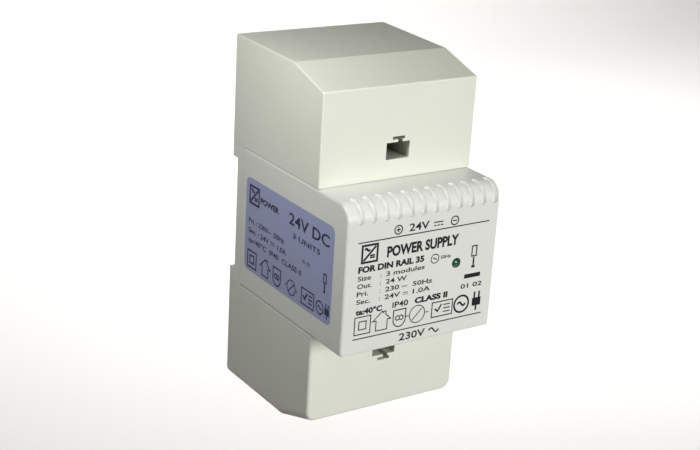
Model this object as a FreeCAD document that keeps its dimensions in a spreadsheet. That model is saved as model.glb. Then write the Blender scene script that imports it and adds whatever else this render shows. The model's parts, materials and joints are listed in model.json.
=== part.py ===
import FreeCAD, Part
import math
import os
import re

import Sketcher

# DIN rail power supply, three modules wide.
# Origin: centre of the rail seat. The rail's flanges bear on the plane y = 0, the wall is on the +Y side,
# the printed face looks along -Y and +Z is up. Millimetres throughout.

DIMENSIONS = (
    # casing
    ("module_width", 17.5, "Width of one installation module"),
    ("module_count", 3, "Modules taken up on the rail"),
    ("back_edge", 2.9, "Back of the casing, behind the rail seat"),
    ("case_seam", -3.8, "Joint between base and front housing"),
    ("nose_front", -61.6, "Printed face of the middle block"),
    ("nose_half", 22.35, "Half the height of the middle block"),
    ("nose_wall", 2.0, "Wall of the front housing"),
    ("nose_round", 5.0, "Round along the top front edge"),
    ("lower_round", 0.6, "Round along the bottom front edge"),
    ("side_round", 0.9, "Round of the outer edges"),
    ("board_clearance", -10.0, "Where the housing's end walls stop above the board"),
    ("cover_front", -46.0, "Front of the terminal covers"),
    ("cover_edge", 22.45, "Inner edge of a terminal cover"),
    ("cover_end", 55.6, "Outer end of a terminal cover"),
    ("slope_start", -30.0, "Where the cover's end begins to slope"),
    ("upper_slope_top", 54.8, "Height at the start of the upper cover's slope"),
    ("lower_slope_top", 55.3, "Height at the start of the lower cover's slope"),
    ("slope_foot", 50.0, "Height at the front of the slope"),
    ("cover_wall", 1.6, "Wall of a terminal cover"),
    ("upper_round", 0.5, "Round of the upper cover's outer edges"),
    ("lower_cover_round", 1.0, "Round of the lower cover's front edges"),
    ("lower_end_round", 3.0, "Round along the sides of the lower cover's end"),
    # flutes in the rounded edge
    ("flute_count", 12, "Flutes across the rounded edge"),
    ("flute_span", 46.0, "First flute to last flute"),
    ("flute_shift", 1.2, "Middle of the flutes, right of the casing's middle"),
    ("flute_radius", 0.95, "Cutter radius of a flute"),
    ("flute_depth", 0.75, "Depth of a flute"),
    # release window
    ("window_left", -4.2, "Window's left side"),
    ("window_right", 3.8, "Window's right side"),
    ("window_near", 28.2, "Window's side towards the middle block"),
    ("window_far", 33.2, "Window's side away from the middle block"),
    ("key_centre", -0.1, "Middle of the cross slot"),
    ("key_neck", 1.6, "Width of the slot's neck"),
    ("key_bar", 4.2, "Width of the cross slot"),
    ("key_near", 34.0, "Cross slot's near side"),
    ("key_far", 34.9, "Cross slot's far side"),
    ("tunnel_wall", 0.9, "Wall of the tunnel behind the window"),
    ("tunnel_end", -32.0, "Back end of the tunnel"),
    # base housing
    ("plate_front", -2.5, "Front face of the base plate"),
    ("base_half", 24.3, "Half the width of the base under a cover"),
    ("base_end", 53.2, "Outer end of the base"),
    ("rail_seat", 18.0, "Half the height of the rail channel"),
    ("hook_reach", 1.5, "How far the fixed hooks reach over the rail"),
    ("hook_front", 1.1, "Front of the hooks, behind the rail's flange"),
    ("hook_inner", 6.0, "Inner end of a fixed hook"),
    ("hook_outer", 20.0, "Outer end of a fixed hook"),
    ("rim_width", 2.0, "Width of the rim that carries the board"),
    ("tongue_tip", -37.5, "Front end of a cover's snap tongue"),
    ("tongue_near", 33.6, "Near side of a snap tongue"),
    ("tongue_far", 34.8, "Far side of a snap tongue"),
    ("tongue_half", 1.8, "Half the width of a snap tongue"),
    ("notch_half", 3.5, "Half the width of a cable notch"),
    ("notch_start", 47.8, "Inner end of a cable notch"),
    ("core_floor", 0.6, "Floor of the hollows in the back of the base"),
    ("core_near", 24.5, "Near end of the hollows"),
    ("core_far", 44.5, "Far end of the hollows"),
    ("core_outer", 22.4, "Outer side of the hollows"),
    ("core_inner", 1.2, "Inner side of the upper hollows"),
    ("web_inner", 11.4, "Inner side of the web between two upper hollows"),
    ("web_outer", 13.2, "Outer side of that web"),
    ("core_latch", 9.4, "Inner side of the lower hollows, beside the latch"),
    ("web_near", 33.4, "Near side of the web between two lower hollows"),
    ("web_far", 35.2, "Far side of that web"),
    # rail latch
    ("channel_half", 7.3, "Half the width of the latch channel"),
    ("lip_inner", 5.8, "Inner edge of the channel's lips"),
    ("lip_front", 1.6, "Front of the channel's lips"),
    ("latch_front", 0.2, "Front of the latch"),
    ("latch_back", 2.65, "Back of the latch"),
    ("latch_half", 7.0, "Half the width of the latch's flanges"),
    ("latch_body", 5.5, "Half the width of the latch's body"),
    ("latch_nose", -16.3, "Top of the latch's nose"),
    ("latch_shoulder", -18.6, "Top of the latch's body"),
    ("flange_top", -20.6, "Top of the latch's flanges"),
    ("flange_foot", -47.0, "Bottom of the latch's flanges"),
    ("latch_foot", -57.0, "Bottom of the latch's tab"),
    ("slot_half", 1.7, "Half the width of the latch's spring slot"),
    ("slot_top", -24.0, "Top of the spring slot"),
    ("slot_foot", -46.0, "Bottom of the spring slot"),
    ("lug_top", -42.2, "Top of the spring lug"),
    ("lug_foot", -45.7, "Bottom of the spring lug"),
    ("lug_half", 1.3, "Half the width of the spring lug"),
    ("driver_half", 2.6, "Half the width of the screwdriver slot"),
    ("driver_top", -54.6, "Top of the screwdriver slot"),
    ("driver_foot", -55.9, "Bottom of the screwdriver slot"),
    ("spring_radius", 0.9, "Mean radius of the latch spring"),
    ("spring_wire", 0.18, "Wire radius of the latch spring"),
    ("spring_turns", 12, "Turns of the latch spring"),
    ("spring_gap", 0.25, "Room at each end of the spring"),
    # rating label
    ("label_front", -55.5, "Front edge of the label"),
    ("label_back", -6.0, "Back edge of the label"),
    ("label_foot", -15.3, "Bottom edge of the label"),
    ("label_top", 14.2, "Top edge of the label"),
    ("label_recess", 0.16, "Depth of the label's recess"),
    ("label_thickness", 0.14, "Thickness of the label"),
    ("label_round", 2.0, "Corner radius of the label"),
    # status light
    ("light_side", 12.0, "Status light's distance from the middle"),
    ("light_height", -0.1, "Status light's height"),
    ("light_radius", 1.45, "Radius of the status light"),
    ("light_hole", 1.55, "Radius of its hole in the face"),
    ("light_tip", -61.9, "Front of the status light"),
    ("light_back", -56.0, "Back of the status light"),
    ("light_collar", 1.8, "Collar radius of the status light"),
    ("spacer_radius", 2.0, "Radius of the light's spacer"),
    ("spacer_bore", 1.2, "Bore of the light's spacer"),
    ("leg_radius", 0.3, "Radius of a component's leg"),
    ("leg_end", -7.2, "Back end of the legs behind the board"),
    # circuit board
    ("board_front", -9.6, "Front of the circuit board"),
    ("board_back", -8.0, "Back of the circuit board"),
    ("board_half", 23.5, "Half the width of the board"),
    ("board_end", 47.6, "Half the height of the board"),
    ("bolt_side", 19.5, "Board screw's distance from the middle"),
    ("bolt_height", 26.0, "Board screw's height"),
    ("bolt_radius", 1.2, "Board screw's radius"),
    ("bolt_head", 2.3, "Board screw's head radius"),
    ("post_radius", 2.9, "Radius of a board post"),
    ("sheet_back", -2.5, "Back of the insulating sheet"),
    ("sheet_front", -2.8, "Front of the insulating sheet"),
    # terminals
    ("pole_side", 9.7, "A terminal's distance from the middle"),
    ("block_half", 15.2, "Half the width of a terminal block"),
    ("block_front", -30.0, "Front of a terminal block"),
    ("block_near", 33.5, "Side of a block towards the middle block"),
    ("block_far", 46.5, "Outer side of a block, where wires enter"),
    ("ledge_front", -26.0, "Ledge under the screw's head"),
    ("chamber_front", -24.8, "Front of the cage's chamber"),
    ("chamber_back", -11.5, "Back of the cage's chamber"),
    ("chamber_half", 3.9, "Half the width of the cage's chamber"),
    ("well_radius", 2.9, "Radius of the screw's well"),
    ("wire_radius", 2.1, "Radius of the wire entry"),
    ("wire_depth", -15.4, "Wire entry's distance in front of the rail seat"),
    ("pole_height", 39.9, "Height of the clamp screw's axis"),
    ("cage_half", 3.5, "Half the height and width of a clamp cage"),
    ("cage_front", -21.9, "Front of an open cage"),
    ("cage_back", -12.2, "Back of an open cage"),
    ("cage_plate", 1.8, "Thickness of the cage's threaded plate"),
    ("cage_wall", 0.9, "Thickness of the cage's other walls"),
    ("cage_hole", 1.56, "Radius of the hole for the screw in the cage"),
    ("clamp_radius", 1.5, "Radius of a clamp screw"),
    ("clamp_head", 2.5, "Head radius of a clamp screw"),
    ("clamp_top", -28.2, "Front of a clamp screw's head"),
    ("clamp_under", -26.2, "Underside of a clamp screw's head"),
    ("clamp_end", -19.2, "Back end of a clamp screw"),
    ("blade_half", 0.4, "Half the width of a screw's slot"),
    ("blade_depth", 1.0, "Depth of a screw's slot"),
    ("bar_front", -18.6, "Front of a contact bar"),
    ("bar_back", -17.6, "Back of a contact bar"),
    ("bar_half", 2.2, "Half the width of a contact bar"),
    ("bar_near", 34.9, "Near end of a contact bar"),
    ("bar_far", 43.4, "Far end of a contact bar"),
    ("pin_half", 1.2, "Half the width of a contact bar's pin"),
    ("pin_thickness", 1.0, "Thickness of a contact bar's pin"),
    # mains fuse
    ("fuse_left", -22.0, "Left end of the fuse"),
    ("fuse_right", -2.0, "Right end of the fuse"),
    ("fuse_depth", -13.5, "Fuse's axis, in front of the rail seat"),
    ("fuse_height", -17.0, "Fuse's height"),
    ("fuse_radius", 2.5, "Radius of the fuse's glass"),
    ("fuse_bore", 1.9, "Bore of the fuse's glass"),
    ("filament_radius", 0.12, "Radius of the fuse's wire"),
    ("cap_radius", 2.65, "Radius of a fuse cap"),
    ("cap_length", 5.0, "Length of a fuse cap"),
    ("clip_inset", 1.0, "Fuse clip's distance from the end of its cap"),
    ("clip_width", 3.0, "Width of a fuse clip"),
    ("clip_half", 3.1, "Half the span of a fuse clip"),
    ("leaf_thickness", 0.4, "Thickness of a fuse clip's leaf"),
    ("clip_front", -15.0, "Front of a fuse clip"),
    # discs and the filter capacitor
    ("thermistor_side", 3.2, "Thermistor's distance from the middle"),
    ("thermistor_low", -18.6, "Lower face of the thermistor"),
    ("thermistor_high", -14.7, "Upper face of the thermistor"),
    ("thermistor_depth", -15.4, "Thermistor's centre, in front of the rail seat"),
    ("thermistor_radius", 4.4, "Radius of the thermistor"),
    ("thermistor_spread", 2.5, "Thermistor's leg from its middle"),
    ("varistor_left", -23.7, "Left face of the varistor"),
    ("varistor_right", -20.7, "Right face of the varistor"),
    ("varistor_depth", -14.8, "Varistor's centre, in front of the rail seat"),
    ("varistor_height", -8.0, "Varistor's height"),
    ("varistor_radius", 4.2, "Radius of the varistor"),
    ("varistor_spread", 2.4, "Varistor's leg from its middle"),
    ("safety_side", 19.0, "Safety capacitor's distance from the middle"),
    ("safety_low", -1.6, "Lower face of the safety capacitor"),
    ("safety_high", 1.5, "Upper face of the safety capacitor"),
    ("safety_depth", -14.2, "Safety capacitor's centre, in front of the rail seat"),
    ("safety_radius", 3.2, "Radius of the safety capacitor"),
    ("safety_spread", 2.0, "Safety capacitor's leg from its middle"),
    ("filter_left", 9.6, "Left side of the filter capacitor"),
    ("filter_right", 22.8, "Right side of the filter capacitor"),
    ("filter_front", -21.6, "Front of the filter capacitor"),
    ("filter_low", -20.0, "Bottom of the filter capacitor"),
    ("filter_high", -14.4, "Top of the filter capacitor"),
    ("filter_round", 0.5, "Round of the filter capacitor's edges"),
    ("part_lift", 0.2, "Room between a standing component and the board"),
    # windings on rings
    ("ring_radius", 3.6, "Mean radius of a ring core"),
    ("ring_section", 1.3, "Section radius of a ring core"),
    ("turn_radius", 1.72, "Mean radius of one turn of wire on a ring"),
    ("turn_wire", 0.36, "Wire radius of one turn on a ring"),
    ("choke_side", 16.8, "Choke's distance from the middle"),
    ("choke_depth", -12.9, "Choke's distance in front of the rail seat"),
    ("choke_height", -8.1, "Choke's height"),
    ("choke_start", 25, "Angle of the choke's first turn, in degrees"),
    ("choke_step", 22, "Angle between two of its turns, in degrees"),
    ("choke_turns", 6, "Turns in each of the choke's windings"),
    ("choke_seat", 4.6, "Half the width of the choke's base"),
    ("seat_thickness", 1.0, "Thickness of the choke's base and of a clip's floor"),
    ("coil_side", 17.2, "Output coil's distance from the middle"),
    ("coil_depth", -12.2, "Output coil's distance in front of the rail seat"),
    ("coil_height", 9.0, "Output coil's height"),
    ("coil_turns", 15, "Turns of the output coil"),
    # rectifier and capacitors
    ("bridge_left", -3.2, "Left side of the bridge rectifier"),
    ("bridge_right", 9.2, "Right side of the bridge rectifier"),
    ("bridge_front", -21.0, "Front of the bridge rectifier"),
    ("bridge_back", -11.0, "Back of the bridge rectifier"),
    ("bridge_low", -13.9, "Bottom of the bridge rectifier"),
    ("bridge_high", -10.5, "Top of the bridge rectifier"),
    ("bridge_pitch", 3.05, "Distance between the bridge's legs"),
    ("bulk_side", -12.0, "Bulk capacitor's distance from the middle"),
    ("bulk_height", -5.0, "Bulk capacitor's height"),
    ("bulk_radius", 7.9, "Radius of the bulk capacitor"),
    ("bulk_front", -42.0, "Front of the bulk capacitor"),
    ("bulk_round", 0.8, "Round of the bulk capacitor's front"),
    ("can_side", -18.6, "Output capacitors' distance from the middle"),
    ("can_low", 6.4, "Height of the lower output capacitor"),
    ("can_high", 15.2, "Height of the upper output capacitor"),
    ("can_radius", 3.95, "Radius of an output capacitor"),
    ("can_front", -30.0, "Front of an output capacitor"),
    ("can_round", 0.6, "Round of an output capacitor's front"),
    # chips
    ("chip_front", -13.4, "Front of a legged chip"),
    ("chip_back", -10.2, "Back of a legged chip"),
    ("leg_pitch", 2.54, "Distance between two legs"),
    ("leg_half", 0.25, "Half the width of a flat leg"),
    ("leg_knee", -11.8, "Front of a flat leg"),
    ("leg_out", 0.3, "How far flat legs stand out of their chip"),
    ("leg_in", 0.2, "How far flat legs reach into their chip"),
    ("control_left", -2.5, "Left side of the control chip"),
    ("control_right", 6.7, "Right side of the control chip"),
    ("control_low", -9.4, "Bottom of the control chip"),
    ("control_high", -4.8, "Top of the control chip"),
    ("coupler_left", -13.7, "Left side of the optocoupler"),
    ("coupler_right", -9.9, "Right side of the optocoupler"),
    ("coupler_low", 6.8, "Bottom of the optocoupler"),
    ("coupler_high", 13.0, "Top of the optocoupler"),
    ("chips_left", -15.0, "Left side of the first column of small parts"),
    ("chips_low", -14.0, "Bottom of the first row of small parts"),
    ("chips_across", 9.0, "Distance between the columns of small parts"),
    ("chips_up", 12.0, "Distance between the rows of small parts"),
    ("chips_columns", 4, "Columns of small parts"),
    ("chips_rows", 3, "Rows of small parts"),
    ("small_length", 2.0, "Length of a small part"),
    ("small_width", 1.25, "Width of a small part"),
    ("small_height", 0.7, "Height of a small part"),
    # power packages and heatsinks
    ("package_front", -25.5, "Front of a power package's moulding"),
    ("package_back", -12.0, "Back of a power package's moulding"),
    ("package_leg", 0.4, "Radius of a power package's leg"),
    ("tab_front", -32.5, "Front of a power package's tab"),
    ("tab_thickness", 1.1, "Thickness of the tab"),
    ("tab_hole", 1.7, "Radius of the tab's hole"),
    ("fixing_depth", -29.5, "Fixing screw's axis, in front of the rail seat"),
    ("sink_hole", 1.45, "Radius of a heatsink's hole"),
    ("screw_head", 2.5, "Head radius of a fixing screw"),
    ("screw_height", 1.6, "Height of a fixing screw's head"),
    ("screw_shank", 1.4, "Shank radius of a fixing screw"),
    ("switch_left", -1.8, "Left side of the transistor"),
    ("switch_right", 8.2, "Right side of the transistor"),
    ("switch_low", -3.3, "Bottom of the transistor"),
    ("switch_high", 1.7, "Top of the transistor's tab"),
    ("pad_thickness", 0.2, "Thickness of the transistor's insulator"),
    ("pad_margin", 0.4, "How far the insulator stands out beside the tab"),
    ("switch_margin", 1.2, "How far its heatsink stands out beside the transistor"),
    ("switch_sink_front", -39.0, "Front of the transistor's heatsink"),
    ("switch_sink", 1.6, "Thickness of the transistor's heatsink"),
    ("diode_left", 12.3, "Left side of the output diode"),
    ("diode_right", 22.3, "Right side of the output diode"),
    ("diode_low", 15.0, "Bottom of the output diode"),
    ("diode_high", 18.9, "Top of the diode's tab"),
    ("diode_margin", 0.7, "How far its heatsink stands out beside the diode"),
    ("diode_sink_front", -35.0, "Front of the diode's heatsink"),
    ("diode_sink", 1.2, "Thickness of the diode's heatsink"),
    # transformer
    ("ferrite_left", -9.0, "Left side of the transformer's core"),
    ("ferrite_right", 10.5, "Right side of the core"),
    ("ferrite_front", -30.5, "Front of the core"),
    ("ferrite_back", -12.5, "Back of the core"),
    ("ferrite_low", 8.9, "Bottom of the core"),
    ("ferrite_high", 14.9, "Top of the core"),
    ("yoke", 3.0, "Section of the core's yokes, and width of its windows"),
    ("barrel_radius", 4.55, "Radius of the bobbin's barrel"),
    ("flange_radius", 5.9, "Radius of the bobbin's flanges"),
    ("flange_thickness", 0.7, "Thickness of the bobbin's flanges"),
    ("foot_width", 2.2, "Width of the bobbin's feet"),
    ("bobbin_low", 5.2, "Bottom of the bobbin's base"),
    ("bobbin_high", 18.6, "Top of the bobbin's base"),
    ("winding_radius", 5.4, "Outer radius of the winding"),
    ("tape_radius", 5.7, "Outer radius of the tape"),
    # allowances
    ("spare", 1.0, "How far a cutting tool, or a shape joined to another, runs past a face"),
    ("play", 0.1, "Room round a part that is set into another"),
)

HALF_WIDTH = "(module_width * module_count / 2)"
AXES = ("x", "y", "z")
TURN_TO = {
    "x": FreeCAD.Rotation(FreeCAD.Vector(0, 1, 0), 90),
    "y": FreeCAD.Rotation(FreeCAD.Vector(1, 0, 0), -90),
    "z": FreeCAD.Rotation(),
}

doc = FreeCAD.newDocument("DinRailPowerSupply")
sheet = doc.addObject("Spreadsheet::Sheet", "Dims")
subparts = []


# ---------------------------------------------------------------- the sheet and expressions

def fill_sheet():
    """One row for each driving dimension: its note, its value and its alias."""
    for row, (alias, size, note) in enumerate(DIMENSIONS, start=1):
        sheet.set(f"A{row}", note)
        sheet.set(f"B{row}", str(size))
        sheet.setAlias(f"B{row}", alias)
    doc.recompute()


def on_sheet(text):
    """The expression with every dimension's name pointed at the sheet."""
    return re.sub(r"[a-z][a-z_]*[a-z]", lambda name: "Dims." + name.group(), str(text))


def size_of(text):
    """What an expression comes to."""
    return float(sheet.evalExpression(on_sheet(text)))


def bind(item, **expressions):
    """Set properties from expressions on the sheet."""
    for name, text in expressions.items():
        item.setExpression(name, on_sheet(text))


def place(item, x="0", y="0", z="0"):
    """Bind where an object stands."""
    for axis, text in zip(AXES, (x, y, z)):
        item.setExpression(f"Placement.Base.{axis}", on_sheet(text))


def keep(item):
    """Count an object among the sub-parts that are written out."""
    subparts.append(item)
    return item


def flip(span, side):
    """A span of heights as it is above the rail (side 1) or turned over below it (side -1)."""
    low, high = span
    return (low, high) if side > 0 else (f"-({high})", f"-({low})")


def signed(text, side):
    """An expression as it is, or negated on the other side."""
    return str(text) if side > 0 else f"-({text})"


# ---------------------------------------------------------------- primitives and booleans

def box(label, x, y, z):
    """Block between three pairs of faces."""
    item = doc.addObject("Part::Box", label)
    for name, (low, high) in zip(("Length", "Width", "Height"), (x, y, z)):
        item.setExpression(name, on_sheet(f"({high}) - ({low})"))
    place(item, x[0], y[0], z[0])
    return item


def rod(label, axis, radius, span, centre):
    """Round bar along an axis; centre gives the two other coordinates, in order."""
    item = doc.addObject("Part::Cylinder", label)
    item.Placement = FreeCAD.Placement(FreeCAD.Vector(), TURN_TO[axis])
    bind(item, Radius=radius, Height=f"({span[1]}) - ({span[0]})")
    at = list(centre)
    at.insert(AXES.index(axis), span[0])
    place(item, *at)
    return item


def ball(label, radius, x, y, z):
    item = doc.addObject("Part::Sphere", label)
    bind(item, Radius=radius)
    place(item, x, y, z)
    return item


def join(label, *solids):
    item = doc.addObject("Part::MultiFuse", label)
    item.Shapes = list(solids)
    return item


def cut(label, solid, *tools):
    item = doc.addObject("Part::Cut", label)
    item.Base = solid
    item.Tool = tools[0] if len(tools) == 1 else join(label + "_tools", *tools)
    return item


def group(label, *solids):
    """Separate solids in one sub-part."""
    item = doc.addObject("Part::Compound", label)
    item.Links = list(solids)
    return item


def soften(label, solid, radius, chosen):
    """Round the edges of a solid that chosen picks."""
    doc.recompute()
    item = doc.addObject("Part::Fillet", label)
    item.Base = solid
    size = size_of(radius)
    item.Edges = [(index, size, size) for index, edge in enumerate(solid.Shape.Edges, 1) if chosen(edge)]
    return item


# ---------------------------------------------------------------- bodies, sketches and features

def new_body(label):
    return doc.addObject("PartDesign::Body", label)


def new_sketch(body, plane, offset):
    """Sketch on one of the body's own origin planes, moved along the plane's normal."""
    sketch = body.newObject("Sketcher::SketchObject", body.Name + "_sketch")
    support = next(item for item in body.Origin.OriginFeatures if item.Role == plane)
    sketch.AttachmentSupport = (support, [""])
    sketch.MapMode = "FlatFace"
    sketch.setExpression("AttachmentOffset.Base.z", on_sheet(offset))
    return sketch


def pin_point(sketch, geometry, point, u, v):
    """Hold one point of the sketch at expressions on the sheet."""
    for kind, text in (("DistanceX", u), ("DistanceY", v)):
        constraint = Sketcher.Constraint(kind, -1, 1, geometry, point, size_of(text))
        index = sketch.addConstraint(constraint)
        sketch.setExpression(f"Constraints[{index}]", on_sheet(text))


def draw_outline(sketch, points):
    """Closed outline of straight lines through the points."""
    corners = [FreeCAD.Vector(size_of(u), size_of(v), 0) for u, v in points]
    for index, corner in enumerate(corners):
        sketch.addGeometry(Part.LineSegment(corner, corners[(index + 1) % len(corners)]), False)
    for index in range(len(corners)):
        sketch.addConstraint(Sketcher.Constraint("Coincident", index, 2, (index + 1) % len(corners), 1))
    for index, (u, v) in enumerate(points):
        pin_point(sketch, index, 1, u, v)


def draw_circle(sketch, u, v, radius):
    centre = FreeCAD.Vector(size_of(u), size_of(v), 0)
    index = sketch.addGeometry(Part.Circle(centre, FreeCAD.Vector(0, 0, 1), size_of(radius)), False)
    pin_point(sketch, index, 3, u, v)
    constraint = sketch.addConstraint(Sketcher.Constraint("Radius", index, size_of(radius)))
    sketch.setExpression(f"Constraints[{constraint}]", on_sheet(radius))


def extrude(body, plane, span, points=(), circles=(), removes=False):
    """Pad an outline between two faces, or pocket it out.

    The span is along the plane's own normal: X for YZ_Plane, -Y for XZ_Plane and Z for XY_Plane.
    """
    low, high = span
    sketch = new_sketch(body, plane, f"-({high})" if plane == "XZ_Plane" else low)
    if points:
        draw_outline(sketch, points)
    for circle in circles:
        draw_circle(sketch, *circle)
    kind = "PartDesign::Pocket" if removes else "PartDesign::Pad"
    feature = body.newObject(kind, body.Name + ("_pocket" if removes else "_pad"))
    feature.Profile = sketch
    bind(feature, Length=f"({high}) - ({low})")
    feature.Reversed = removes
    return feature


def pocket(body, plane, span, points=(), circles=()):
    """Pocket that must take something away."""
    doc.recompute()
    before = body.Shape.Volume
    feature = extrude(body, plane, span, points, circles, removes=True)
    doc.recompute()
    if body.Shape.Volume > before - 1e-3:
        raise RuntimeError(f"{feature.Name} cuts nothing")
    return feature


def rectangle(u, v):
    """Outline of a rectangle from two spans."""
    return ((u[0], v[0]), (u[1], v[0]), (u[1], v[1]), (u[0], v[1]))


def round_edges(body, radius, chosen):
    """Fillet the edges of the body that chosen picks."""
    doc.recompute()
    tip = body.Tip
    names = [f"Edge{index}" for index, edge in enumerate(tip.Shape.Edges, 1) if chosen(edge)]
    feature = body.newObject("PartDesign::Fillet", body.Name + "_fillet")
    feature.Base = (tip, names)
    bind(feature, Radius=radius)
    return feature


def turn(body, points, angle=360):
    """Solid of revolution about the Y axis from an outline of radius and Y."""
    sketch = new_sketch(body, "XY_Plane", "0")
    draw_outline(sketch, points)
    feature = body.newObject("PartDesign::Revolution", body.Name + "_turned")
    feature.Profile = sketch
    feature.ReferenceAxis = (sketch, ["V_Axis"])
    feature.Angle = angle
    return feature


def spans(edge, axis, size=None):
    """Whether an edge runs straight along an axis, and is longer than size if that is given."""
    lengths = (edge.BoundBox.XLength, edge.BoundBox.YLength, edge.BoundBox.ZLength)
    along = lengths[AXES.index(axis)]
    across = sum(lengths) - along
    return across < 1e-6 and (size is None or along > size)


def lies_at(edge, axis, position):
    """Whether the whole edge lies at a position on an axis."""
    low = getattr(edge.BoundBox, axis.upper() + "Min")
    high = getattr(edge.BoundBox, axis.upper() + "Max")
    return abs(low - position) < 1e-4 and abs(high - position) < 1e-4


# ---------------------------------------------------------------- casing

def front_housing():
    """Middle block: a box open at the back, its top front edge rounded and fluted."""
    body = new_body("front_shell")
    outer = (f"-{HALF_WIDTH}", HALF_WIDTH)
    height = ("-nose_half", "nose_half")
    extrude(body, "YZ_Plane", outer, rectangle(("nose_front", "case_seam - 0.05"), height))
    front, top, side, seam = (size_of(text) for text in ("nose_front", "nose_half", HALF_WIDTH, "case_seam - 0.05"))
    round_edges(body, "nose_round", lambda e: lies_at(e, "y", front) and lies_at(e, "z", top))
    round_edges(body, "lower_round", lambda e: lies_at(e, "y", front) and lies_at(e, "z", -top))
    round_edges(
        body, "side_round",
        lambda e: (lies_at(e, "x", side) or lies_at(e, "x", -side)) and not lies_at(e, "y", seam))
    inner = (f"-{HALF_WIDTH} + nose_wall", f"{HALF_WIDTH} - nose_wall")
    pocket(body, "YZ_Plane", inner, rectangle(
        ("nose_front + nose_wall", "case_seam + spare"), ("-nose_half + nose_wall", "nose_half - nose_wall")))
    wall = size_of("nose_wall")
    round_edges(body, "nose_round - nose_wall", lambda e: (
        lies_at(e, "y", front + wall) and lies_at(e, "z", top - wall)))
    pocket(body, "YZ_Plane", inner, rectangle(
        ("board_clearance", "case_seam + spare"), ("-nose_half - spare", "nose_half + spare")))
    pocket(body, "XZ_Plane", ("nose_front - spare", "nose_front + 3"),
           circles=(("light_side", "light_height", "light_hole"),))
    pocket(body, "YZ_Plane", (f"-{HALF_WIDTH} - spare", f"-{HALF_WIDTH} + label_recess"),
           rectangle(("label_front - play", "label_back + play"), ("label_foot - play", "label_top + play")))
    recess = -side + size_of("label_recess")
    round_edges(body, "label_round", lambda e: (
        spans(e, "x") and abs(e.Length - size_of("label_recess")) < 1e-4
        and abs(e.BoundBox.XMax - recess) < 1e-4))
    doc.recompute()
    return keep(cut_flutes(body))


def cut_flutes(body):
    """Round-ended flutes that follow the rounded edge, evenly spaced from side to side."""
    centre_y = "(nose_front + nose_round)"
    centre_z = "(nose_half - nose_round)"
    reach = "(nose_round + flute_radius - flute_depth)"
    count = int(size_of("flute_count"))
    cutters = []
    for index in range(count):
        side = f"(flute_shift - flute_span / 2 + flute_span * {index} / (flute_count - 1))"
        bend = doc.addObject("Part::Torus", "flute_bend")
        bend.Placement = FreeCAD.Placement(FreeCAD.Vector(), FreeCAD.Rotation(
            FreeCAD.Vector(0, -1, 0), FreeCAD.Vector(0, 0, 1), FreeCAD.Vector(-1, 0, 0), "ZXY"))
        bend.Angle3 = 90
        bind(bend, Radius1=reach, Radius2="flute_radius")
        place(bend, side, centre_y, centre_z)
        cutters.append(bend)
        cutters.append(ball("flute_front_end", "flute_radius", side, f"{centre_y} - {reach}", centre_z))
        cutters.append(ball("flute_top_end", "flute_radius", side, centre_y, f"{centre_z} + {reach}"))
    return cut("front_housing", body, *cutters)


def base_housing():
    """Back of the case: rail channel, latch channel, fixed hooks, board rim and snap tongues."""
    middle = box("base_middle", (f"-{HALF_WIDTH}", HALF_WIDTH), ("case_seam + 0.05", "back_edge"),
                 ("-nose_half", "nose_half"))
    ends = box("base_ends", ("-base_half", "base_half"), ("plate_front", "back_edge"),
               ("-base_end", "base_end"))
    rims = []
    posts = []
    for side in (-1, 1):
        for level in (-1, 1):
            rims.append(box("board_rim", flip(("base_half - rim_width", "base_half"), side),
                            ("board_back", "plate_front + spare"), flip(("nose_half + 0.3", "board_end"), level)))
            posts.append(rod("board_post", "y", "post_radius", ("board_back", "plate_front + spare"),
                             (signed("bolt_side", side), signed("bolt_height", level))))
    tongues = []
    for level in (-1, 1):
        tongues.append(box("snap_tongue", ("key_centre - tongue_half", "key_centre + tongue_half"),
                           ("tongue_tip", "plate_front + spare"), flip(("tongue_near", "tongue_far"), level)))
    hooks = []
    for side in (-1, 1):
        hooks.append(box("fixed_hook", flip(("hook_inner", "hook_outer"), side), ("hook_front", "back_edge"),
                         ("rail_seat - hook_reach", "rail_seat + spare")))
    hollow = box("base_hollow", (f"-{HALF_WIDTH} + nose_wall", f"{HALF_WIDTH} - nose_wall"),
                 ("case_seam - spare", "plate_front"), ("-nose_half - 0.2", "nose_half + 0.2"))
    channel = box("rail_channel", (f"-{HALF_WIDTH} - spare", f"{HALF_WIDTH} + spare"), ("0", "back_edge + spare"),
                  ("-rail_seat", "rail_seat"))
    latch_room = box("latch_channel", ("-channel_half", "channel_half"), ("0", "lip_front"),
                     ("-base_end - spare", "-rail_seat + spare"))
    latch_mouth = box("latch_mouth", ("-lip_inner", "lip_inner"), ("0", "back_edge + spare"),
                      ("-base_end - spare", "-rail_seat + spare"))
    cores = [
        box("core_out", flip((low, high), side), ("core_floor", "back_edge + spare"), flip((near, far), level))
        for side in (-1, 1) for level, low, high, near, far in (
            (1, "core_inner", "web_inner", "core_near", "core_far"),
            (1, "web_outer", "core_outer", "core_near", "core_far"),
            (-1, "core_latch", "core_outer", "core_near", "web_near"),
            (-1, "core_latch", "core_outer", "web_far", "core_far"))
    ]
    notches = [
        box("cable_notch",
            (f"{signed('pole_side', side)} - notch_half", f"{signed('pole_side', side)} + notch_half"),
            ("plate_front - spare", "back_edge + spare"), flip(("notch_start", "base_end + spare"), level))
        for side in (-1, 1) for level in (-1, 1)
    ]
    pilots = [
        rod("pilot_hole", "y", "bolt_radius", ("board_back - spare", "plate_front"),
            (signed("bolt_side", side), signed("bolt_height", level)))
        for side in (-1, 1) for level in (-1, 1)
    ]
    solid = cut("base_shell", join("base_outer", middle, ends, *rims, *posts),
                hollow, channel, latch_room, latch_mouth, *cores, *notches, *pilots)
    lug = box("spring_lug", ("-lug_half", "lug_half"), ("-0.5", "latch_back"), ("lug_foot", "lug_top"))
    return keep(join("base_housing", solid, *tongues, *hooks, lug))


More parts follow.
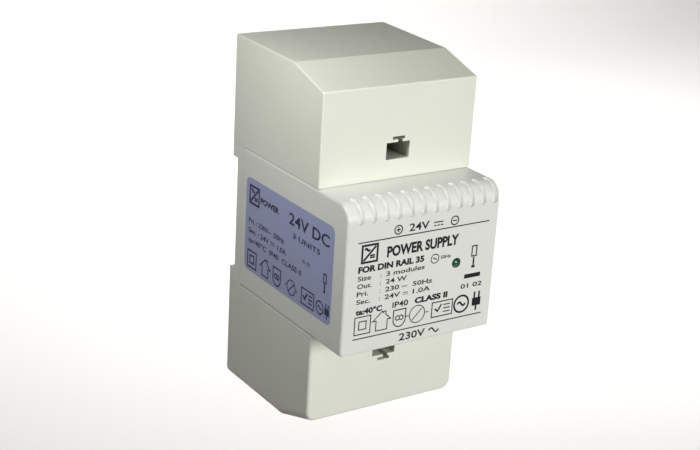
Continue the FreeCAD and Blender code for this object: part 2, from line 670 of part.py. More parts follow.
def terminal_cover(label, level, slope_top, front_round, end_round):
    """Shell over the terminals, open at the back and towards the middle block.

    The outer end stands at slope_top where its slope begins.  front_round rounds the front
    edges, and end_round the edges along the sides of the outer end.
    """
    body = new_body(label)

    def profile(back, near, end, start, top, foot, front):
        points = ((back, near), (back, end), (start, top), (front, foot), (front, near))
        return [(u, signed(v, level)) for u, v in points]

    extrude(body, "YZ_Plane", (f"-{HALF_WIDTH}", HALF_WIDTH), profile(
        "back_edge", "cover_edge", "cover_end", "slope_start", slope_top, "slope_foot", "cover_front"))
    back, front, side, near = (size_of(text) for text in ("back_edge", "cover_front", HALF_WIDTH, "cover_edge"))

    def beside(edge):
        return lies_at(edge, "x", side) or lies_at(edge, "x", -side)

    def open_edge(edge):
        return lies_at(edge, "y", back) or lies_at(edge, "z", near * level)

    round_edges(body, end_round, lambda e: beside(e) and not lies_at(e, "y", front) and not open_edge(e))
    round_edges(body, front_round, lambda e: (
        (beside(e) and lies_at(e, "y", front)) or (spans(e, "x") and not open_edge(e))))
    inner = (f"-{HALF_WIDTH} + cover_wall", f"{HALF_WIDTH} - cover_wall")
    pocket(body, "YZ_Plane", inner, profile(
        "back_edge + spare", "cover_edge - spare", "cover_end - cover_wall", "slope_start",
        f"{slope_top} - cover_wall", "slope_foot - cover_wall * 0.6", "cover_front + cover_wall"))
    wide = ("window_left - tunnel_wall", "window_right + tunnel_wall")
    deep = ("cover_front + cover_wall * 0.5", "tunnel_end")
    tall = flip(("window_near - tunnel_wall", "key_far + tunnel_wall"), level)
    extrude(body, "XZ_Plane", deep, rectangle(wide, tall))
    through = ("cover_front - spare", "tunnel_end + spare")
    pocket(body, "XZ_Plane", through, rectangle(
        ("window_left", "window_right"), flip(("window_near", "window_far"), level)))
    pocket(body, "XZ_Plane", through, rectangle(
        ("key_centre + 0.6 - key_neck / 2", "key_centre + 0.6 + key_neck / 2"),
        flip(("window_far - 0.5", "key_near + 0.2"), level)))
    pocket(body, "XZ_Plane", ("cover_front - spare", "tunnel_end + spare"), rectangle(
        ("key_centre - key_bar / 2", "key_centre + key_bar / 2"), flip(("key_near", "key_far"), level)))
    pocket(body, "XZ_Plane", ("tongue_tip - 0.4", "tunnel_end + spare"), rectangle(
        ("key_centre - key_bar / 2", "key_centre + key_bar / 2"),
        flip(("tongue_near - 0.3", "key_far + 0.2"), level)))
    if level < 0:
        pocket(body, "XY_Plane", ("-cover_end - spare", "-cover_end + cover_wall + spare"), rectangle(
            ("-latch_half - 0.4", "latch_half + 0.4"), ("-0.1", "back_edge + spare")))
    return keep(body)


def rating_label():
    """Thin sticker in its recess on the left side."""
    blank = box("label_blank", (f"-{HALF_WIDTH} + label_recess - label_thickness", f"-{HALF_WIDTH} + label_recess"),
                ("label_front", "label_back"), ("label_foot", "label_top"))
    return keep(soften("side_label", blank, "label_round", lambda e: spans(e, "x")))


# ---------------------------------------------------------------- rail latch

def rail_latch():
    """Sliding foot: a nose behind the rail's lower flange, guided flanges and a tab to pull."""
    body = new_body("rail_latch")
    thick = ("latch_front", "latch_back")
    extrude(body, "XZ_Plane", thick, rectangle(("-latch_body", "latch_body"), ("latch_foot", "latch_shoulder")))
    extrude(body, "YZ_Plane", ("-latch_body", "latch_body"), (
        ("hook_front + 0.9", "latch_nose"), ("latch_back", "latch_nose"), ("latch_back", "latch_shoulder - spare"),
        ("hook_front", "latch_shoulder - spare"), ("hook_front", "latch_nose - 0.9")))
    for side in (-1, 1):
        extrude(body, "XZ_Plane", ("latch_front", "lip_front - 0.2"), rectangle(
            flip(("latch_body - 0.5", "latch_half"), side), ("flange_foot", "flange_top")))
        extrude(body, "XZ_Plane", thick, rectangle(
            flip(("latch_body - 0.5", "latch_half"), side), ("latch_foot", "-base_end - 0.6")))
    pocket(body, "XZ_Plane", ("latch_front - spare", "latch_back + spare"), rectangle(
        ("-slot_half", "slot_half"), ("slot_foot", "slot_top")))
    pocket(body, "XZ_Plane", ("latch_front - spare", "latch_back + spare"), rectangle(
        ("-driver_half", "driver_half"), ("driver_foot", "driver_top")))
    return keep(body)


def latch_spring():
    """Compression spring between the slot's top edge and the base's lug."""
    length = "(slot_top - lug_top - 2 * spring_gap - 2 * spring_wire)"
    line = doc.addObject("Part::Helix", "spring_line")
    bind(line, Pitch=f"{length} / spring_turns", Height=length, Radius="spring_radius")
    section = doc.addObject("Part::Circle", "spring_section")
    section.Placement = FreeCAD.Placement(
        FreeCAD.Vector(size_of("spring_radius"), 0, 0), FreeCAD.Rotation(FreeCAD.Vector(1, 0, 0), 90))
    bind(section, Radius="spring_wire")
    spring = doc.addObject("Part::Sweep", "latch_spring")
    spring.Sections = [section]
    spring.Spine = (line, ["Edge1"])
    spring.Solid = True
    spring.Frenet = True
    place(spring, "0", "(latch_front + latch_back) / 2", "lug_top + spring_gap + spring_wire")
    return keep(spring)


# ---------------------------------------------------------------- terminals

def terminal_block(label, level):
    """Moulded block with two screw wells, two cage chambers and two wire entries."""
    body = new_body(label)
    near_far = flip(("block_near", "block_far"), level)
    extrude(body, "XZ_Plane", ("block_front", "board_front"), rectangle(("-block_half", "block_half"), near_far))
    depth = ("block_front - spare", "board_front + spare")
    pocket(body, "XZ_Plane", depth, rectangle(
        ("key_centre - tongue_half - spare", "key_centre + tongue_half + spare"),
        flip(("block_near - spare", "tongue_far + 1.8"), level)))
    height = signed("pole_height", level)
    for side in (-1, 1):
        centre = signed("pole_side", side)
        across = (f"{centre} - chamber_half", f"{centre} + chamber_half")
        pocket(body, "XZ_Plane", ("block_front - spare", "ledge_front"), circles=((centre, height, "well_radius"),))
        pocket(body, "XZ_Plane", ("ledge_front - 0.5", "chamber_front + 0.5"),
               circles=((centre, height, "clamp_radius + 0.3"),))
        pocket(body, "XZ_Plane", ("chamber_front", "chamber_back"), rectangle(
            across, (f"{height} - chamber_half", f"{height} + chamber_half")))
        pocket(body, "XY_Plane", flip(("pole_height + cage_half", "block_far + spare"), level),
               circles=((centre, "wire_depth", "wire_radius"),))
        pocket(body, "XZ_Plane", ("bar_front - play", "bar_back + play"), rectangle(
            (f"{centre} - bar_half - play", f"{centre} + bar_half + play"),
            flip(("bar_near - play", "pole_height"), level)))
        pocket(body, "XZ_Plane", ("bar_back - 0.2", "board_front + spare"), rectangle(
            (f"{centre} - pin_half - play", f"{centre} + pin_half + play"),
            flip(("bar_near - play", "bar_near + pin_thickness + play"), level)))
    return keep(body)


def clamp_screw(label, side, level):
    """Slotted clamp screw, turned about its own axis along Y."""
    body = new_body(label)
    turn(body, (("0", "clamp_top"), ("clamp_head - 0.3", "clamp_top"), ("clamp_head", "clamp_top + 0.3"),
                ("clamp_head", "clamp_under"), ("clamp_radius", "clamp_under"), ("clamp_radius", "clamp_end - 0.4"),
                ("clamp_radius - 0.4", "clamp_end"), ("0", "clamp_end")))
    pocket(body, "XZ_Plane", ("clamp_top - spare", "clamp_top + blade_depth"), rectangle(
        ("-clamp_head - spare", "clamp_head + spare"), ("-blade_half", "blade_half")))
    pocket(body, "XZ_Plane", ("clamp_top - spare", "clamp_top + blade_depth"), rectangle(
        ("-blade_half", "blade_half"), ("-clamp_radius", "clamp_radius")))
    place(body, signed("pole_side", side), "0", signed("pole_height", level))
    return keep(body)


def clamp_cage(label, side, level):
    """Square tube with a threaded front plate, which rises along its screw."""
    body = new_body(label)
    half = ("-cage_half", "cage_half")
    extrude(body, "XZ_Plane", ("cage_front", "cage_back"), rectangle(half, half))
    pocket(body, "XY_Plane", ("-cage_half - spare", "cage_half + spare"), rectangle(
        ("-cage_half + cage_wall", "cage_half - cage_wall"),
        ("cage_front + cage_plate", "cage_back - cage_wall")))
    pocket(body, "XZ_Plane", ("cage_front - spare", "cage_front + cage_plate + spare"),
           circles=(("0", "0", "cage_hole"),))
    place(body, signed("pole_side", side), "0", signed("pole_height", level))
    return keep(body)


def contact_bars(label, level):
    """Two tinned bars, each with a pin that is soldered in the board."""
    bars = []
    for side in (-1, 1):
        centre = signed("pole_side", side)
        strip = box("contact_strip", (f"{centre} - bar_half", f"{centre} + bar_half"), ("bar_front", "bar_back"),
                    flip(("bar_near", "bar_far"), level))
        pin = box("contact_pin", (f"{centre} - pin_half", f"{centre} + pin_half"), ("bar_back - 0.5", "leg_end"),
                  flip(("bar_near", "bar_near + pin_thickness"), level))
        bars.append(join("contact_bar", strip, pin))
    return keep(group(label, *bars))


# ---------------------------------------------------------------- board and its fixings

def circuit_board():
    body = new_body("circuit_board")
    thick = ("board_front", "board_back")
    through = ("board_front - spare", "board_back + spare")
    extrude(body, "XZ_Plane", thick, rectangle(("-board_half", "board_half"), ("-board_end", "board_end")))
    for level in (-1, 1):
        for side in (-1, 1):
            centre = signed("pole_side", side)
            pocket(body, "XZ_Plane", through, circles=(
                (signed("bolt_side", side), signed("bolt_height", level), "bolt_radius + 0.15"),))
            pocket(body, "XZ_Plane", through, rectangle(
                (f"{centre} - pin_half - play", f"{centre} + pin_half + play"),
                flip(("bar_near - play", "bar_near + pin_thickness + play"), level)))
        pocket(body, "XZ_Plane", through, rectangle(
            ("key_centre - tongue_half - 0.6", "key_centre + tongue_half + 0.6"),
            flip(("tongue_near - 0.6", "tongue_far + 0.6"), level)))
    return keep(body)


def board_screws():
    """Four self-tapping screws that hold the board on its posts."""
    screws = []
    for side in (-1, 1):
        for level in (-1, 1):
            at = (signed("bolt_side", side), signed("bolt_height", level))
            head = rod("board_screw_head", "y", "bolt_head", ("board_front - 1.4", "board_front"), at)
            shank = rod("board_screw_shank", "y", "bolt_radius", ("board_front - 0.5", "plate_front - 0.6"), at)
            blade = box("board_screw_slot", (f"{at[0]} - bolt_head - spare", f"{at[0]} + bolt_head + spare"),
                        ("board_front - 2", "board_front - 0.8"),
                        (f"{at[1]} - blade_half", f"{at[1]} + blade_half"))
            screws.append(cut("board_screw", join("board_screw_blank", head, shank), blade))
    return keep(group("board_screws", *screws))


def insulating_sheet():
    """Thin sheet on the base plate, with holes for the posts and the tongues."""
    blank = box("sheet_blank", ("-base_half + rim_width + 0.4", "base_half - rim_width - 0.4"),
                ("sheet_front", "sheet_back"), ("-board_end + spare", "board_end - spare"))
    through = ("sheet_front - spare", "sheet_back + spare")
    holes = []
    for level in (-1, 1):
        holes.append(box("sheet_slot", ("key_centre - tongue_half - 0.5", "key_centre + tongue_half + 0.5"),
                         through, flip(("tongue_near - 0.5", "tongue_far + 0.5"), level)))
        for side in (-1, 1):
            holes.append(rod("sheet_hole", "y", "post_radius + 0.3", through,
                             (signed("bolt_side", side), signed("bolt_height", level))))
    return keep(cut("insulating_sheet", blank, *holes))


# ---------------------------------------------------------------- status light

def status_light():
    """Light in the face, the spacer tube that holds it up and its two long legs."""
    centre = ("light_side", "light_height")
    stem = rod("light_stem", "y", "light_radius", ("light_tip + light_radius", "light_back"), centre)
    dome = ball("light_dome", "light_radius", "light_side", "light_tip + light_radius", "light_height")
    collar = rod("light_collar_ring", "y", "light_collar", ("light_back - spare", "light_back"), centre)
    keep(join("status_led", stem, dome, collar))
    tube = rod("spacer_tube", "y", "spacer_radius", ("light_back", "board_front"), centre)
    bore = rod("spacer_hole", "y", "spacer_bore", ("light_back - spare", "board_front + spare"), centre)
    keep(cut("led_spacer", tube, bore))
    legs = [
        rod("led_leg", "y", "leg_radius", ("light_back", "board_front"), (f"light_side + {offset}", "light_height"))
        for offset in (-0.64, 0.64)
    ]
    keep(group("led_legs", *legs))


# ---------------------------------------------------------------- components on the board

def middle(span):
    """Half way between the two ends of a span."""
    return f"(({span[0]}) + ({span[1]})) / 2"


def standing_legs(radius, top, places):
    """Round legs from a component down to the board's front."""
    return [rod("component_leg", "y", radius, (top, "board_front"), at) for at in places]


def mains_fuse():
    """Glass tube between two caps, lying in spring clips."""
    at = ("fuse_depth", "fuse_height")
    inner = ("fuse_left + cap_length", "fuse_right - cap_length")
    glass = rod("fuse_glass", "x", "fuse_radius", inner, at)
    hollow = rod("fuse_hollow", "x", "fuse_bore", (f"{inner[0]} - spare", f"{inner[1]} + spare"), at)
    keep(cut("mains_fuse", glass, hollow))
    keep(group("fuse_caps", rod("fuse_cap", "x", "cap_radius", ("fuse_left", inner[0]), at),
               rod("fuse_cap", "x", "cap_radius", (inner[1], "fuse_right"), at)))
    keep(rod("fuse_wire", "x", "filament_radius", inner, at))
    low, high = "fuse_height - clip_half", "fuse_height + clip_half"
    clips = []
    for wide in (("fuse_left + clip_inset", "fuse_left + clip_inset + clip_width"),
                 ("fuse_right - clip_inset - clip_width", "fuse_right - clip_inset")):
        floor = box("clip_floor", wide, ("board_front - seat_thickness", "board_front"), (low, high))
        leaves = [box("clip_leaf", wide, ("clip_front", "board_front - seat_thickness / 2"), span)
                  for span in ((low, f"{low} + leaf_thickness"), (f"{high} - leaf_thickness", high))]
        clips.append(join("fuse_clip", floor, *leaves))
    keep(group("fuse_clips", *clips))


def mains_input():
    """Parts that meet the mains first: two discs and the filter capacitor, with the safety capacitor."""
    for label, name in (("inrush_thermistor", "thermistor"), ("safety_capacitor", "safety")):
        span = (f"{name}_low", f"{name}_high")
        disc = rod(name + "_disc", "z", f"{name}_radius", span, (f"{name}_side", f"{name}_depth"))
        legs = standing_legs("leg_radius", f"{name}_depth + {name}_radius / 2", [
            (f"{name}_side {sign} {name}_spread", middle(span)) for sign in "-+"])
        keep(join(label, disc, *legs))
    span = ("varistor_left", "varistor_right")
    disc = rod("varistor_disc", "x", "varistor_radius", span, ("varistor_depth", "varistor_height"))
    legs = standing_legs("leg_radius", "varistor_depth + varistor_radius / 2", [
        (middle(span), f"varistor_height {sign} varistor_spread") for sign in "-+"])
    keep(join("varistor", disc, *legs))
    block = box("capacitor_block", ("filter_left", "filter_right"), ("filter_front", "board_front - part_lift"),
                ("filter_low", "filter_high"))
    front = size_of("filter_front")
    keep(soften("filter_capacitor", block, "filter_round", lambda e: spans(e, "y") or lies_at(e, "y", front)))


def ring_coil(core_label, winding_label, x, y, z, angles):
    """Ring core lying flat on the board, with turns of wire around its section."""
    core = doc.addObject("Part::Torus", core_label)
    core.Placement = FreeCAD.Placement(FreeCAD.Vector(), TURN_TO["y"])
    bind(core, Radius1="ring_radius", Radius2="ring_section")
    place(core, x, y, z)
    keep(core)
    turns = []
    for angle in angles:
        ring = doc.addObject("Part::Torus", "wire_turn")
        heading = math.radians(angle)
        tangent = FreeCAD.Vector(-math.sin(heading), 0, math.cos(heading))
        ring.Placement = FreeCAD.Placement(
            FreeCAD.Vector(), FreeCAD.Rotation(FreeCAD.Vector(0, 0, 1), tangent))
        bind(ring, Radius1="turn_radius", Radius2="turn_wire")
        place(ring, f"{x} + ring_radius * {math.cos(heading):.6f}", y,
              f"{z} + ring_radius * {math.sin(heading):.6f}")
        turns.append(ring)
    keep(group(winding_label, *turns))


def filter_choke():
    """Common-mode choke: two windings on one ring, on a plastic base."""
    start, step = size_of("choke_start"), size_of("choke_step")
    angles = [start + half + step * index for half in (0, 180) for index in range(int(size_of("choke_turns")))]
    ring_coil("choke_core", "choke_windings", "choke_side", "choke_depth", "choke_height", angles)
    keep(box("choke_base", ("choke_side - choke_seat", "choke_side + choke_seat"),
             ("board_front - seat_thickness", "board_front"),
             ("choke_height - choke_seat", "choke_height + choke_seat")))


def output_inductor():
    """Output filter coil, wound all the way round its ring."""
    count = int(size_of("coil_turns"))
    ring_coil("inductor_core", "inductor_winding", "coil_side", "coil_depth", "coil_height",
              [360 / count * index for index in range(count)])


def rectifier_and_bulk():
    """Bridge rectifier and the large capacitor beside it."""
    wide, tall = ("bridge_left", "bridge_right"), ("bridge_low", "bridge_high")
    body = box("bridge_body", wide, ("bridge_front", "bridge_back"), tall)
    legs = standing_legs("leg_radius", "bridge_back - 0.5", [
        (f"{middle(wide)} + bridge_pitch * {step}", middle(tall)) for step in (-1.5, -0.5, 0.5, 1.5)])
    keep(join("bridge_rectifier", body, *legs))
    can = rod("bulk_can", "y", "bulk_radius", ("bulk_front", "board_front - part_lift"),
              ("bulk_side", "bulk_height"))
    front = size_of("bulk_front")
    keep(soften("bulk_capacitor", can, "bulk_round", lambda e: lies_at(e, "y", front)))


def legged_chip(label, wide, tall, columns):
    """Moulded chip on two rows of flat legs."""
    body = box(label + "_body", wide, ("chip_front", "chip_back"), tall)
    rows = ((f"{tall[0]} - leg_out", f"{tall[0]} + leg_in"), (f"{tall[1]} - leg_in", f"{tall[1]} + leg_out"))
    legs = []
    for column in range(columns):
        centre = f"{middle(wide)} + leg_pitch * {column - (columns - 1) / 2}"
        flat = (f"{centre} - leg_half", f"{centre} + leg_half")
        legs += [box(label + "_leg", flat, ("leg_knee", "board_front"), row) for row in rows]
    keep(join(label, body, *legs))


def power_package(label, wide, tall):
    """Moulded power package with three legs and a drilled metal tab on its upper side."""
    low, high = tall
    case = box(label + "_case", wide, ("package_front", "package_back"), (low, f"{high} - tab_thickness + play"))
    tab = box(label + "_tab", wide, ("tab_front", "package_back - spare"), (f"{high} - tab_thickness", high))
    legs = standing_legs("package_leg", "package_back - 0.5", [
        (f"{middle(wide)} + leg_pitch * {step}", middle(tall)) for step in (-1, 0, 1)])
    hole = rod(label + "_hole", "z", "tab_hole", (f"{low} - spare", f"{high} + spare"),
               (middle(wide), "fixing_depth"))
    keep(cut(label, join(label + "_blank", case, tab, *legs), hole))


def heatsink(label, wide, front, tall, centre):
    """Upright plate with a hole for the fixing screw."""
    plate = box(label + "_plate", wide, (front, "board_front"), tall)
    low, high = tall
    hole = rod(label + "_hole", "z", "sink_hole", (f"{low} - spare", f"{high} + spare"), (centre, "fixing_depth"))
    keep(cut(label, plate, hole))


def fixing_screw(label, centre, under, end):
    """Screw through a package's tab into its heatsink."""
    at = (centre, "fixing_depth")
    head = rod(label + "_head", "z", "screw_head", (f"{under} - screw_height", under), at)
    shank = rod(label + "_shank", "z", "screw_shank", (f"{under} - screw_height / 2", end), at)
    keep(join(label, head, shank))


def switching_stage():
    """Transistor, its insulator, heatsink and screw."""
    wide = ("switch_left", "switch_right")
    centre = middle(wide)
    back = ("switch_high", "switch_high + pad_thickness")
    power_package("switching_transistor", wide, ("switch_low", "switch_high"))
    pad = box("insulator_pad", ("switch_left - pad_margin", "switch_right + pad_margin"),
              ("tab_front - pad_margin", "package_back"), back)
    hole = rod("insulator_hole", "z", "tab_hole - play", (f"{back[0]} - spare", f"{back[1]} + spare"),
               (centre, "fixing_depth"))
    keep(cut("transistor_insulator", pad, hole))
    plate = (back[1], f"{back[1]} + switch_sink")
    heatsink("primary_heatsink", ("switch_left - switch_margin", "switch_right + switch_margin"),
             "switch_sink_front", plate, centre)
    fixing_screw("transistor_screw", centre, "switch_high - tab_thickness", plate[1])


def output_stage():
    """Output diode with its heatsink and screw, and two output capacitors."""
    wide = ("diode_left", "diode_right")
    plate = ("diode_high", "diode_high + diode_sink")
    power_package("output_diode", wide, ("diode_low", "diode_high"))
    heatsink("output_heatsink", ("diode_left - diode_margin", "diode_right + diode_margin"),
             "diode_sink_front", plate, middle(wide))
    fixing_screw("diode_screw", middle(wide), "diode_high - tab_thickness", plate[1])
    front = size_of("can_front")
    cans = []
    for height in ("can_low", "can_high"):
        can = rod("output_can", "y", "can_radius", ("can_front", "board_front - part_lift"), ("can_side", height))
        cans.append(soften("output_capacitor", can, "can_round", lambda e: lies_at(e, "y", front)))
    keep(group("output_capacitors", *cans))


def transformer():
    """Ferrite frame around a bobbin with its winding and outer tape."""
    wide, deep = ("ferrite_left", "ferrite_right"), ("ferrite_front", "ferrite_back")
    tall = ("ferrite_low", "ferrite_high")
    inner = ("ferrite_left + yoke", "ferrite_right - yoke")
    windows = [box("ferrite_window", inner, span, ("ferrite_low - spare", "ferrite_high + spare"))
               for span in (("ferrite_front + yoke", "ferrite_front + 2 * yoke"),
                            ("ferrite_back - 2 * yoke", "ferrite_back - yoke"))]
    keep(cut("transformer_core", box("ferrite_frame", wide, deep, tall), *windows))
    axis = (middle(deep), middle(tall))
    ends = (f"{inner[0]} + play", f"{inner[1]} - play")
    cheeks = ((ends[0], f"{ends[0]} + flange_thickness"), (f"{ends[1]} - flange_thickness", ends[1]))
    barrel = rod("bobbin_barrel", "x", "barrel_radius", ends, axis)
    flanges = [rod("bobbin_flange", "x", "flange_radius", span, axis) for span in cheeks]
    feet = [box("bobbin_foot", span, (axis[0], "board_front"),
                ("ferrite_high + 3 * play", "ferrite_high + 3 * play + foot_width")) for span in cheeks]
    base = box("bobbin_base", ("ferrite_left + 4 * play", "ferrite_right - 4 * play"),
               ("ferrite_back + 2 * play", "board_front"), ("bobbin_low", "bobbin_high"))
    bore = box("bobbin_bore", (f"{inner[0]} - spare", f"{inner[1]} + spare"),
               ("ferrite_front + 2 * yoke - play", "ferrite_back - 2 * yoke + play"),
               ("ferrite_low - play", "ferrite_high + play"))
    keep(cut("transformer_bobbin", join("bobbin_blank", barrel, *flanges, *feet, base), bore))
    for label, outer, inner_radius, margin in (
            ("transformer_winding", "winding_radius", "barrel_radius + play / 2", "(flange_thickness + play)"),
            ("transformer_tape", "tape_radius", "winding_radius + play / 2", "(flange_thickness + 3 * play)")):
        tube = rod(label + "_tube", "x", outer, (f"{ends[0]} + {margin}", f"{ends[1]} - {margin}"), axis)
        bore = rod(label + "_bore", "x", inner_radius, ends, axis)
        keep(cut(label, tube, bore))


def surface_mount_parts():
    """Chip resistors and capacitors in rows on the back of the board."""
    chips = []
    for column in range(int(size_of("chips_columns"))):
        for row in range(int(size_of("chips_rows"))):
            left = f"chips_left + chips_across * {column}"
            foot = f"chips_low + chips_up * {row}"
            chips.append(box("chip_part", (left, f"{left} + small_length"),
                             ("board_back", "board_back + small_height"), (foot, f"{foot} + small_width")))
    keep(group("surface_mount_parts", *chips))


# ---------------------------------------------------------------- the whole and its files

def build():
    fill_sheet()
    front_housing()
    base_housing()
    terminal_cover("upper_terminal_cover", 1, "upper_slope_top", "upper_round", "upper_round")
    terminal_cover("lower_terminal_cover", -1, "lower_slope_top", "lower_cover_round", "lower_end_round")
    rating_label()
    rail_latch()
    latch_spring()
    for name, level in (("output", 1), ("input", -1)):
        terminal_block(f"{name}_terminal_block", level)
        contact_bars(f"{name}_contact_bars", level)
        for end, side in (("left", -1), ("right", 1)):
            clamp_screw(f"{name}_{end}_clamp_screw", side, level)
            clamp_cage(f"{name}_{end}_clamp_cage", side, level)
    circuit_board()
    board_screws()
    insulating_sheet()
    status_light()
    mains_fuse()
    mains_input()
    filter_choke()
    rectifier_and_bulk()
    legged_chip("control_chip", ("control_left", "control_right"), ("control_low", "control_high"), 4)
    switching_stage()
    transformer()
    output_inductor()
    output_stage()
    legged_chip("optocoupler", ("coupler_left", "coupler_right"), ("coupler_low", "coupler_high"), 2)
    surface_mount_parts()
    doc.recompute()


def check():
    """Stop on a failed object or a bad shape."""
    for item in doc.Objects:
        if "Invalid" in item.State or "Error" in item.State:
            raise RuntimeError(f"{item.Name} failed: {item.State}")
    labels = [item.Label for item in subparts]
    if len(set(labels)) != len(labels):
        raise RuntimeError("two sub-parts share a label")
    for item in subparts:
        if item.Shape.isNull() or not item.Shape.isValid() or not item.Shape.Solids:
            raise RuntimeError(f"{item.Label} has a bad shape")


def write():
    os.makedirs("parts", exist_ok=True)
    for item in subparts:
        item.Shape.exportStep(f"parts/{item.Label}.step")
        print(f"{item.Label}: {item.Shape.Volume:.1f} mm3, {len(item.Shape.Solids)} solid(s)")


build()
check()
write()
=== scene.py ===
import json
import math

import bmesh
import bpy
from bpy.props import FloatProperty, FloatVectorProperty, PointerProperty
from mathutils import Matrix, Vector


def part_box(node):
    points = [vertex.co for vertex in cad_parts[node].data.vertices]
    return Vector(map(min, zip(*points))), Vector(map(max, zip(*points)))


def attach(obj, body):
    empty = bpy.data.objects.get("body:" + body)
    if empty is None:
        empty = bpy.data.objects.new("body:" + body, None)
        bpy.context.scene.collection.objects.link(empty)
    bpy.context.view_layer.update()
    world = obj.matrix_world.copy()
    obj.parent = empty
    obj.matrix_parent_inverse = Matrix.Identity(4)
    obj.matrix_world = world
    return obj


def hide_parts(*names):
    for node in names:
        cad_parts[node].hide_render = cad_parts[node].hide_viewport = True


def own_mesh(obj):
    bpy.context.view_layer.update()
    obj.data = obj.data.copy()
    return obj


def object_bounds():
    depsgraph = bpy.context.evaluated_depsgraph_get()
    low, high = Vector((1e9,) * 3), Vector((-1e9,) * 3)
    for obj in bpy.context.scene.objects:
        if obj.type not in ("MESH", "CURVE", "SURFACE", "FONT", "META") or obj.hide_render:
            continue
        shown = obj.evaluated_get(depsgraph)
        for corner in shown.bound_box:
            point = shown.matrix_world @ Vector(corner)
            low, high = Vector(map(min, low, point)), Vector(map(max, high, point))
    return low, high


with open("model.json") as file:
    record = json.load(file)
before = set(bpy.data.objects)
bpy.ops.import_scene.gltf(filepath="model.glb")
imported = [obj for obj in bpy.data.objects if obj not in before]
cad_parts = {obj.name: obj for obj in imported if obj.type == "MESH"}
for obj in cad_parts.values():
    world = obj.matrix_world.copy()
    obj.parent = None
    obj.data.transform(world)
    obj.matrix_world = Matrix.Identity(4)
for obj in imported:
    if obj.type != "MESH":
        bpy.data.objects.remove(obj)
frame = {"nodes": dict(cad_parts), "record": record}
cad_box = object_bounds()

bl_info = {
    "name": "DIN rail power supply",
    "version": (1, 0, 0),
    "blender": (4, 5, 0),
    "location": "View3D > Sidebar > Power supply",
    "description": "Finishes, printing and stage for a power supply on a mounting rail",
    "category": "Object",
}

MM = 0.001
SLOT_OF = {part["node"]: part["material_slot"] for part in frame["record"]["subparts"]}

FACE_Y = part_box("front_housing")[0].y
LABEL_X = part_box("side_label")[0].x
LABEL_BACK_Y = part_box("side_label")[1].y

# the tunnels behind the release windows, whose walls get painted shade that darkens with depth
TUNNEL_HALF_WIDTH = 4.6 * MM
TUNNEL_FAR_SIDE = 35.0 * MM
TUNNEL_FRONT = 45.8 * MM
TUNNEL_SHADE_DEPTH = 11.0 * MM

UPRIGHT = Matrix.Rotation(math.pi / 2, 4, "X")
CAPITAL_SHARE = 0.729  # of the letters' nominal size
WELD = 0.002 * MM

FLOOR_BEND = 0.45
FLOOR_RISE = 0.2
FLOOR_WIDENING = 1.8

SKY_COLOUR = (1.0, 0.96, 0.88, 1.0)
SKY_STRENGTH = 0.05
WHITE = (1.0, 1.0, 1.0)
# name, place, aim, watts, side, spread in degrees, colour
LIGHTS = (
    ("front_light", (0.27, -1.11, 0.16), (0, 0, 0), 1.14, 0.50, 50, WHITE),
    ("side_light", (-0.125, -0.06, 0.135), (-0.026, -0.03, 0.045), 0.128, 0.05, 150, WHITE),
    ("backdrop_light", (0.59, 0.47, 0.74), (1.05, 1.50, -0.31), 21.0, 0.8, 180, (1.0, 0.98, 0.95)),
)

# the camera looks at the casing's back edge from an azimuth and elevation, with a roll, in degrees
CAMERA_TURN = (-34.058, 20.19, 3.507)
CAMERA_TARGET = Vector((0, 2.9 * MM, 0))
CAMERA_SHIFT = Vector((-14.478, 8.126, -450.998)) * MM
SENSOR_WIDTH = 36.0
FOCAL_LENGTH = 72.88
NEAREST = 0.01


# ---------------------------------------------------------------- what a user can change

class PowerSupplySizes(bpy.types.PropertyGroup):
    ink_height: FloatProperty(
        name="Ink height", description="How far the printing stands off the surface",
        default=0.03 * MM, min=0.0, unit="LENGTH", precision=6)
    grain: FloatProperty(
        name="Grain", description="Size of the moulded surface's spark-eroded grain",
        default=0.16 * MM, min=0.00001, unit="LENGTH", precision=6)
    stage_drop: FloatProperty(
        name="Stage drop", description="How far the floor lies below the power supply",
        default=250 * MM, min=0.0, unit="LENGTH")
    stage_reach: FloatProperty(
        name="Stage reach", description="Half the width of the floor",
        default=1.6, min=0.5, unit="LENGTH")


class PowerSupplyColours(bpy.types.PropertyGroup):
    housing: FloatVectorProperty(
        name="Housing", description="Light moulded plastic of the base and the middle block",
        default=(0.742, 0.752, 0.705), subtype="COLOR", min=0, max=1)
    cover: FloatVectorProperty(
        name="Covers", description="Light moulded plastic of the terminal covers",
        default=(0.735, 0.748, 0.652), subtype="COLOR", min=0, max=1)
    ink: FloatVectorProperty(
        name="Ink", description="Dark printing on the face",
        default=(0.012, 0.012, 0.016), subtype="COLOR", min=0, max=1)
    label: FloatVectorProperty(
        name="Label", description="Film of the rating label",
        default=(0.330, 0.370, 0.590), subtype="COLOR", min=0, max=1)
    label_ink: FloatVectorProperty(
        name="Label ink", description="Printing on the rating label",
        default=(0.020, 0.022, 0.060), subtype="COLOR", min=0, max=1)
    light: FloatVectorProperty(
        name="Status light", description="Tinted lens of the status light",
        default=(0.006, 0.085, 0.030), subtype="COLOR", min=0, max=1)
    latch: FloatVectorProperty(
        name="Latch", description="Plastic of the rail latch",
        default=(0.045, 0.046, 0.048), subtype="COLOR", min=0, max=1)
    board: FloatVectorProperty(
        name="Board", description="Solder resist of the circuit board",
        default=(0.012, 0.105, 0.040), subtype="COLOR", min=0, max=1)
    backdrop: FloatVectorProperty(
        name="Backdrop", description="Pale floor behind the power supply",
        default=(0.93, 0.93, 0.93), subtype="COLOR", min=0, max=1)


def sizes():
    return bpy.context.scene.power_supply_sizes


def colours():
    return bpy.context.scene.power_supply_colours


# ---------------------------------------------------------------- shader maths

